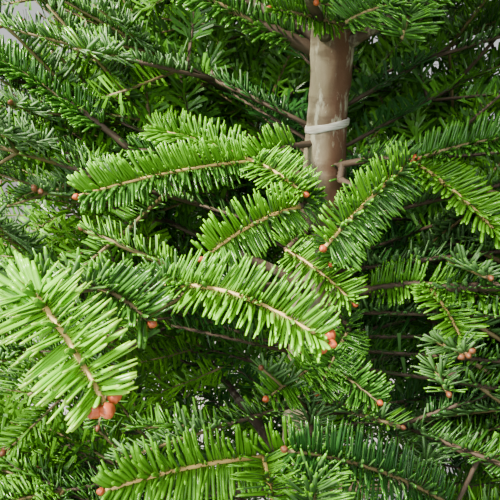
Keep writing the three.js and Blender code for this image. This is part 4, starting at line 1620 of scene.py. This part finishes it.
class TREE_OT_bark(Operator):
    """Builds the bark of the trunk and of every bough"""

    bl_idname = "tree.bark"
    bl_label = "Trunk and boughs"

    def execute(self, context):
        settings = context.scene.fir_bark
        finish = bark_finish("trunk_bark", **TRUNK_FINISH)
        trunk = make_piece("trunk_bark", trunk_surface(settings), [finish])
        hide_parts("trunk")
        limbs = [plan for plan in all_plans() if plan["bare"]]
        surface = joined([bough_surface(plan, settings, BOUGH_SEED + i) for i, plan in enumerate(limbs)])
        finish = bark_finish("bough_bark", **BOUGH_FINISH)
        boughs = make_piece("bough_bark", surface, [finish])
        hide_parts(*[f"bough_{plan['name']}" for plan in limbs])
        return {"FINISHED"}


LEAST_SUNLIT_TWIG = 3
LEAST_SUNLIT_BUD = 1
BUD_SEED = 5


class TREE_OT_twigs(Operator):
    """Grows the twigs of every mass of foliage, with the buds at their tips"""

    bl_idname = "tree.twigs"
    bl_label = "Twigs and buds"

    def execute(self, context):
        settings = context.scene.fir_twigs
        self.twigs(settings, grown_shoots())
        self.buds(settings, grown_shoots())
        return {"FINISHED"}

    @staticmethod
    def twigs(settings, shoots):
        """All twigs as one piece: pale skin on young sunlit shoots, duller in shade, bark on the old."""
        skins = [
            Finish("shoot_young", 0.5, settings.young).material,
            Finish("shoot_shaded", 0.65, settings.shaded).material,
            Finish("twig_old", 0.75, settings.old).material,
        ]
        young_skin = np.where(shoots["tint"] >= LEAST_SUNLIT_TWIG, 0, 1)
        skin_of = np.where(shoots["age"] <= 0, young_skin, 2)
        detail_of = shoot_detail(shoots)
        parts, kinds = [], []
        for level, detail in enumerate(DETAILS):
            which = np.flatnonzero(detail_of == level)
            parts.append(tubes(shoots, which, *detail.twig))
            kinds.append(np.repeat(skin_of[which], len(parts[-1][1]) // len(which)))
        piece = make_piece("twigs", joined(parts), skins, np.concatenate(kinds))
        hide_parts(*[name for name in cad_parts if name.startswith("foliage_")])

    @staticmethod
    def buds(settings, shoots):
        """All buds as one piece, the sunlit ones redder."""
        scales = [
            Finish("bud_scales", 0.4, settings.bud).material,
            Finish("bud_scales_shaded", 0.5, settings.shaded_bud).material,
        ]
        kind_of = np.where(shoots["tint"] >= LEAST_SUNLIT_BUD, 0, 1)
        detail_of = shoot_detail(shoots)
        parts, kinds = [], []
        for level, detail in enumerate(DETAILS):
            for kind in range(len(scales)):
                which = np.flatnonzero((shoots["buds"] > 0) & (detail_of == level) & (kind_of == kind))
                if len(which):
                    parts.append(lay_buds(shoots, which, *detail.bud, settings, BUD_SEED + level))
                    kinds.append(np.full(len(parts[-1][1]), kind))
        make_piece("buds", joined(parts), scales, np.concatenate(kinds))


NEEDLE_ROUGHNESS = 0.25
NEEDLE_GLOSS = 0.42


class TREE_OT_needles(Operator):
    """Sets the needles on every twig"""

    bl_idname = "tree.needles"
    bl_label = "Needles"

    def execute(self, context):
        settings = context.scene.fir_needles
        old, young = np.array(settings.oldest), np.array(settings.youngest)
        greens = [blend(old, young, step) for step in GREEN_STEPS] + [settings.needle_tip]
        finishes = [
            Finish(f"needle_green_{i + 1}", NEEDLE_ROUGHNESS, green, Specular_IOR_Level=NEEDLE_GLOSS)
            for i, green in enumerate(greens)
        ]
        finishes.append(Finish("needle_underside", 0.5, settings.underside))
        needle_pieces(settings, [finish.material for finish in finishes])
        return {"FINISHED"}


class TREE_OT_tie(Operator):
    """Lays the pale strap round the trunk"""

    bl_idname = "tree.tie"
    bl_label = "Tie"

    def execute(self, context):
        strap = make_piece("tie_strap", tie_surface(), [strap_finish()])
        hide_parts("trunk_tie")
        return {"FINISHED"}


BEAM_AXES = {"stand_beam_x": 0, "stand_beam_y": 1}


class TREE_OT_stand(Operator):
    """Finishes the two beams and four braces of the stand"""

    bl_idname = "tree.stand"
    bl_label = "Stand"

    def execute(self, context):
        settings = context.scene.fir_stand
        finishes = [timber_finish(f"timber_{axis}", i) for i, axis in enumerate("xyz")]
        for name in [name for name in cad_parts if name.startswith("stand_")]:
            worn_copy(name, finishes[BEAM_AXES.get(name, HEIGHT_AXIS)], settings.edge_round)
        return {"FINISHED"}


FLOOR_SIZE = 14
FLOOR_PLACE = (0, 2, 0)
ROOM_COLOUR = (0.90, 0.91, 0.90, 1)
KEY_LAMP = {
    "place": (-1.6, -0.7, 2.9),
    "target": (0, -0.1, 1.05),
    "size": 0.4,
    "colour": (1.0, 0.93, 0.78),
}
FILL_LAMP = {
    "place": (-0.6, -2.6, 2.6),
    "target": (0, 0, 1.0),
    "size": 2.0,
    "colour": (0.92, 0.96, 1.0),
}
SENSOR_WIDTH = 36
NEAREST_SEEN = 0.01


class TREE_OT_stage(Operator):
    """Lays the floor, hangs the lights and sets the camera"""

    bl_idname = "tree.stage"
    bl_label = "Stage"

    def execute(self, context):
        settings = context.scene.fir_stage
        bpy.ops.mesh.primitive_plane_add(size=FLOOR_SIZE, location=FLOOR_PLACE)
        floor = context.object
        floor.name = "floor"
        floor.data.materials.append(Finish("floor", 0.85, tuple(settings.floor)).material)
        world = bpy.data.worlds.new("room")
        context.scene.world = world
        world.use_nodes = True
        sky = world.node_tree.nodes["Background"]
        sky.inputs["Color"].default_value = ROOM_COLOUR
        sky.inputs["Strength"].default_value = settings.sky_strength
        self.lamp("key", settings.key_power, **KEY_LAMP)
        self.lamp("fill", settings.fill_power, **FILL_LAMP)
        camera = bpy.data.cameras.new("camera")
        camera.sensor_width = SENSOR_WIDTH
        camera.lens = SENSOR_WIDTH / 2 / math.tan(math.radians(CAMERA_WIDTH / 2))
        camera.clip_start = NEAREST_SEEN
        holder = bpy.data.objects.new("camera", camera)
        holder.location = CAMERA_PLACE
        holder.rotation_euler = (math.radians(90 + CAMERA_PITCH), 0, 0)
        context.scene.collection.objects.link(holder)
        context.scene.camera = holder
        return {"FINISHED"}

    @staticmethod
    def lamp(name, power, place, target, size, colour):
        """A soft square lamp that faces a point."""
        light = bpy.data.lights.new(name, "AREA")
        light.size = size
        light.energy = power
        light.color = colour
        holder = bpy.data.objects.new(name, light)
        holder.location = place
        x, y, z = np.array(target) - np.array(place)
        holder.rotation_euler = (math.atan2(math.hypot(x, y), -z), 0, math.atan2(-x, y))
        bpy.context.scene.collection.objects.link(holder)


class TREE_PT_panel(Panel):
    """Lists the steps that build the fir"""

    bl_idname = "TREE_PT_panel"
    bl_label = "Cut fir"
    bl_space_type = "VIEW_3D"
    bl_region_type = "UI"
    bl_category = "Fir"

    def draw(self, context):
        for step in STEPS:
            self.layout.operator(step.bl_idname)


STEPS = (TREE_OT_bark, TREE_OT_twigs, TREE_OT_needles, TREE_OT_tie, TREE_OT_stand, TREE_OT_stage)
SETTINGS = {
    "fir_bark": BarkSettings,
    "fir_twigs": TwigSettings,
    "fir_needles": NeedleSettings,
    "fir_stand": StandSettings,
    "fir_stage": StageSettings,
}


def register():
    """Registers the settings, the steps and the panel."""
    for name, group in SETTINGS.items():
        bpy.utils.register_class(group)
        setattr(bpy.types.Scene, name, PointerProperty(type=group))
    for step in STEPS:
        bpy.utils.register_class(step)
    bpy.utils.register_class(TREE_PT_panel)


def unregister():
    """Takes the panel, the steps and the settings away again."""
    bpy.utils.unregister_class(TREE_PT_panel)
    for step in reversed(STEPS):
        bpy.utils.unregister_class(step)
    for name, group in reversed(SETTINGS.items()):
        delattr(bpy.types.Scene, name)
        bpy.utils.unregister_class(group)


def main():
    """Builds the fir in order."""
    register()
    bpy.ops.tree.bark()
    bpy.ops.tree.twigs()
    bpy.ops.tree.needles()
    bpy.ops.tree.tie()
    bpy.ops.tree.stand()
    bpy.ops.tree.stage()


if __name__ == "__main__":
    main()
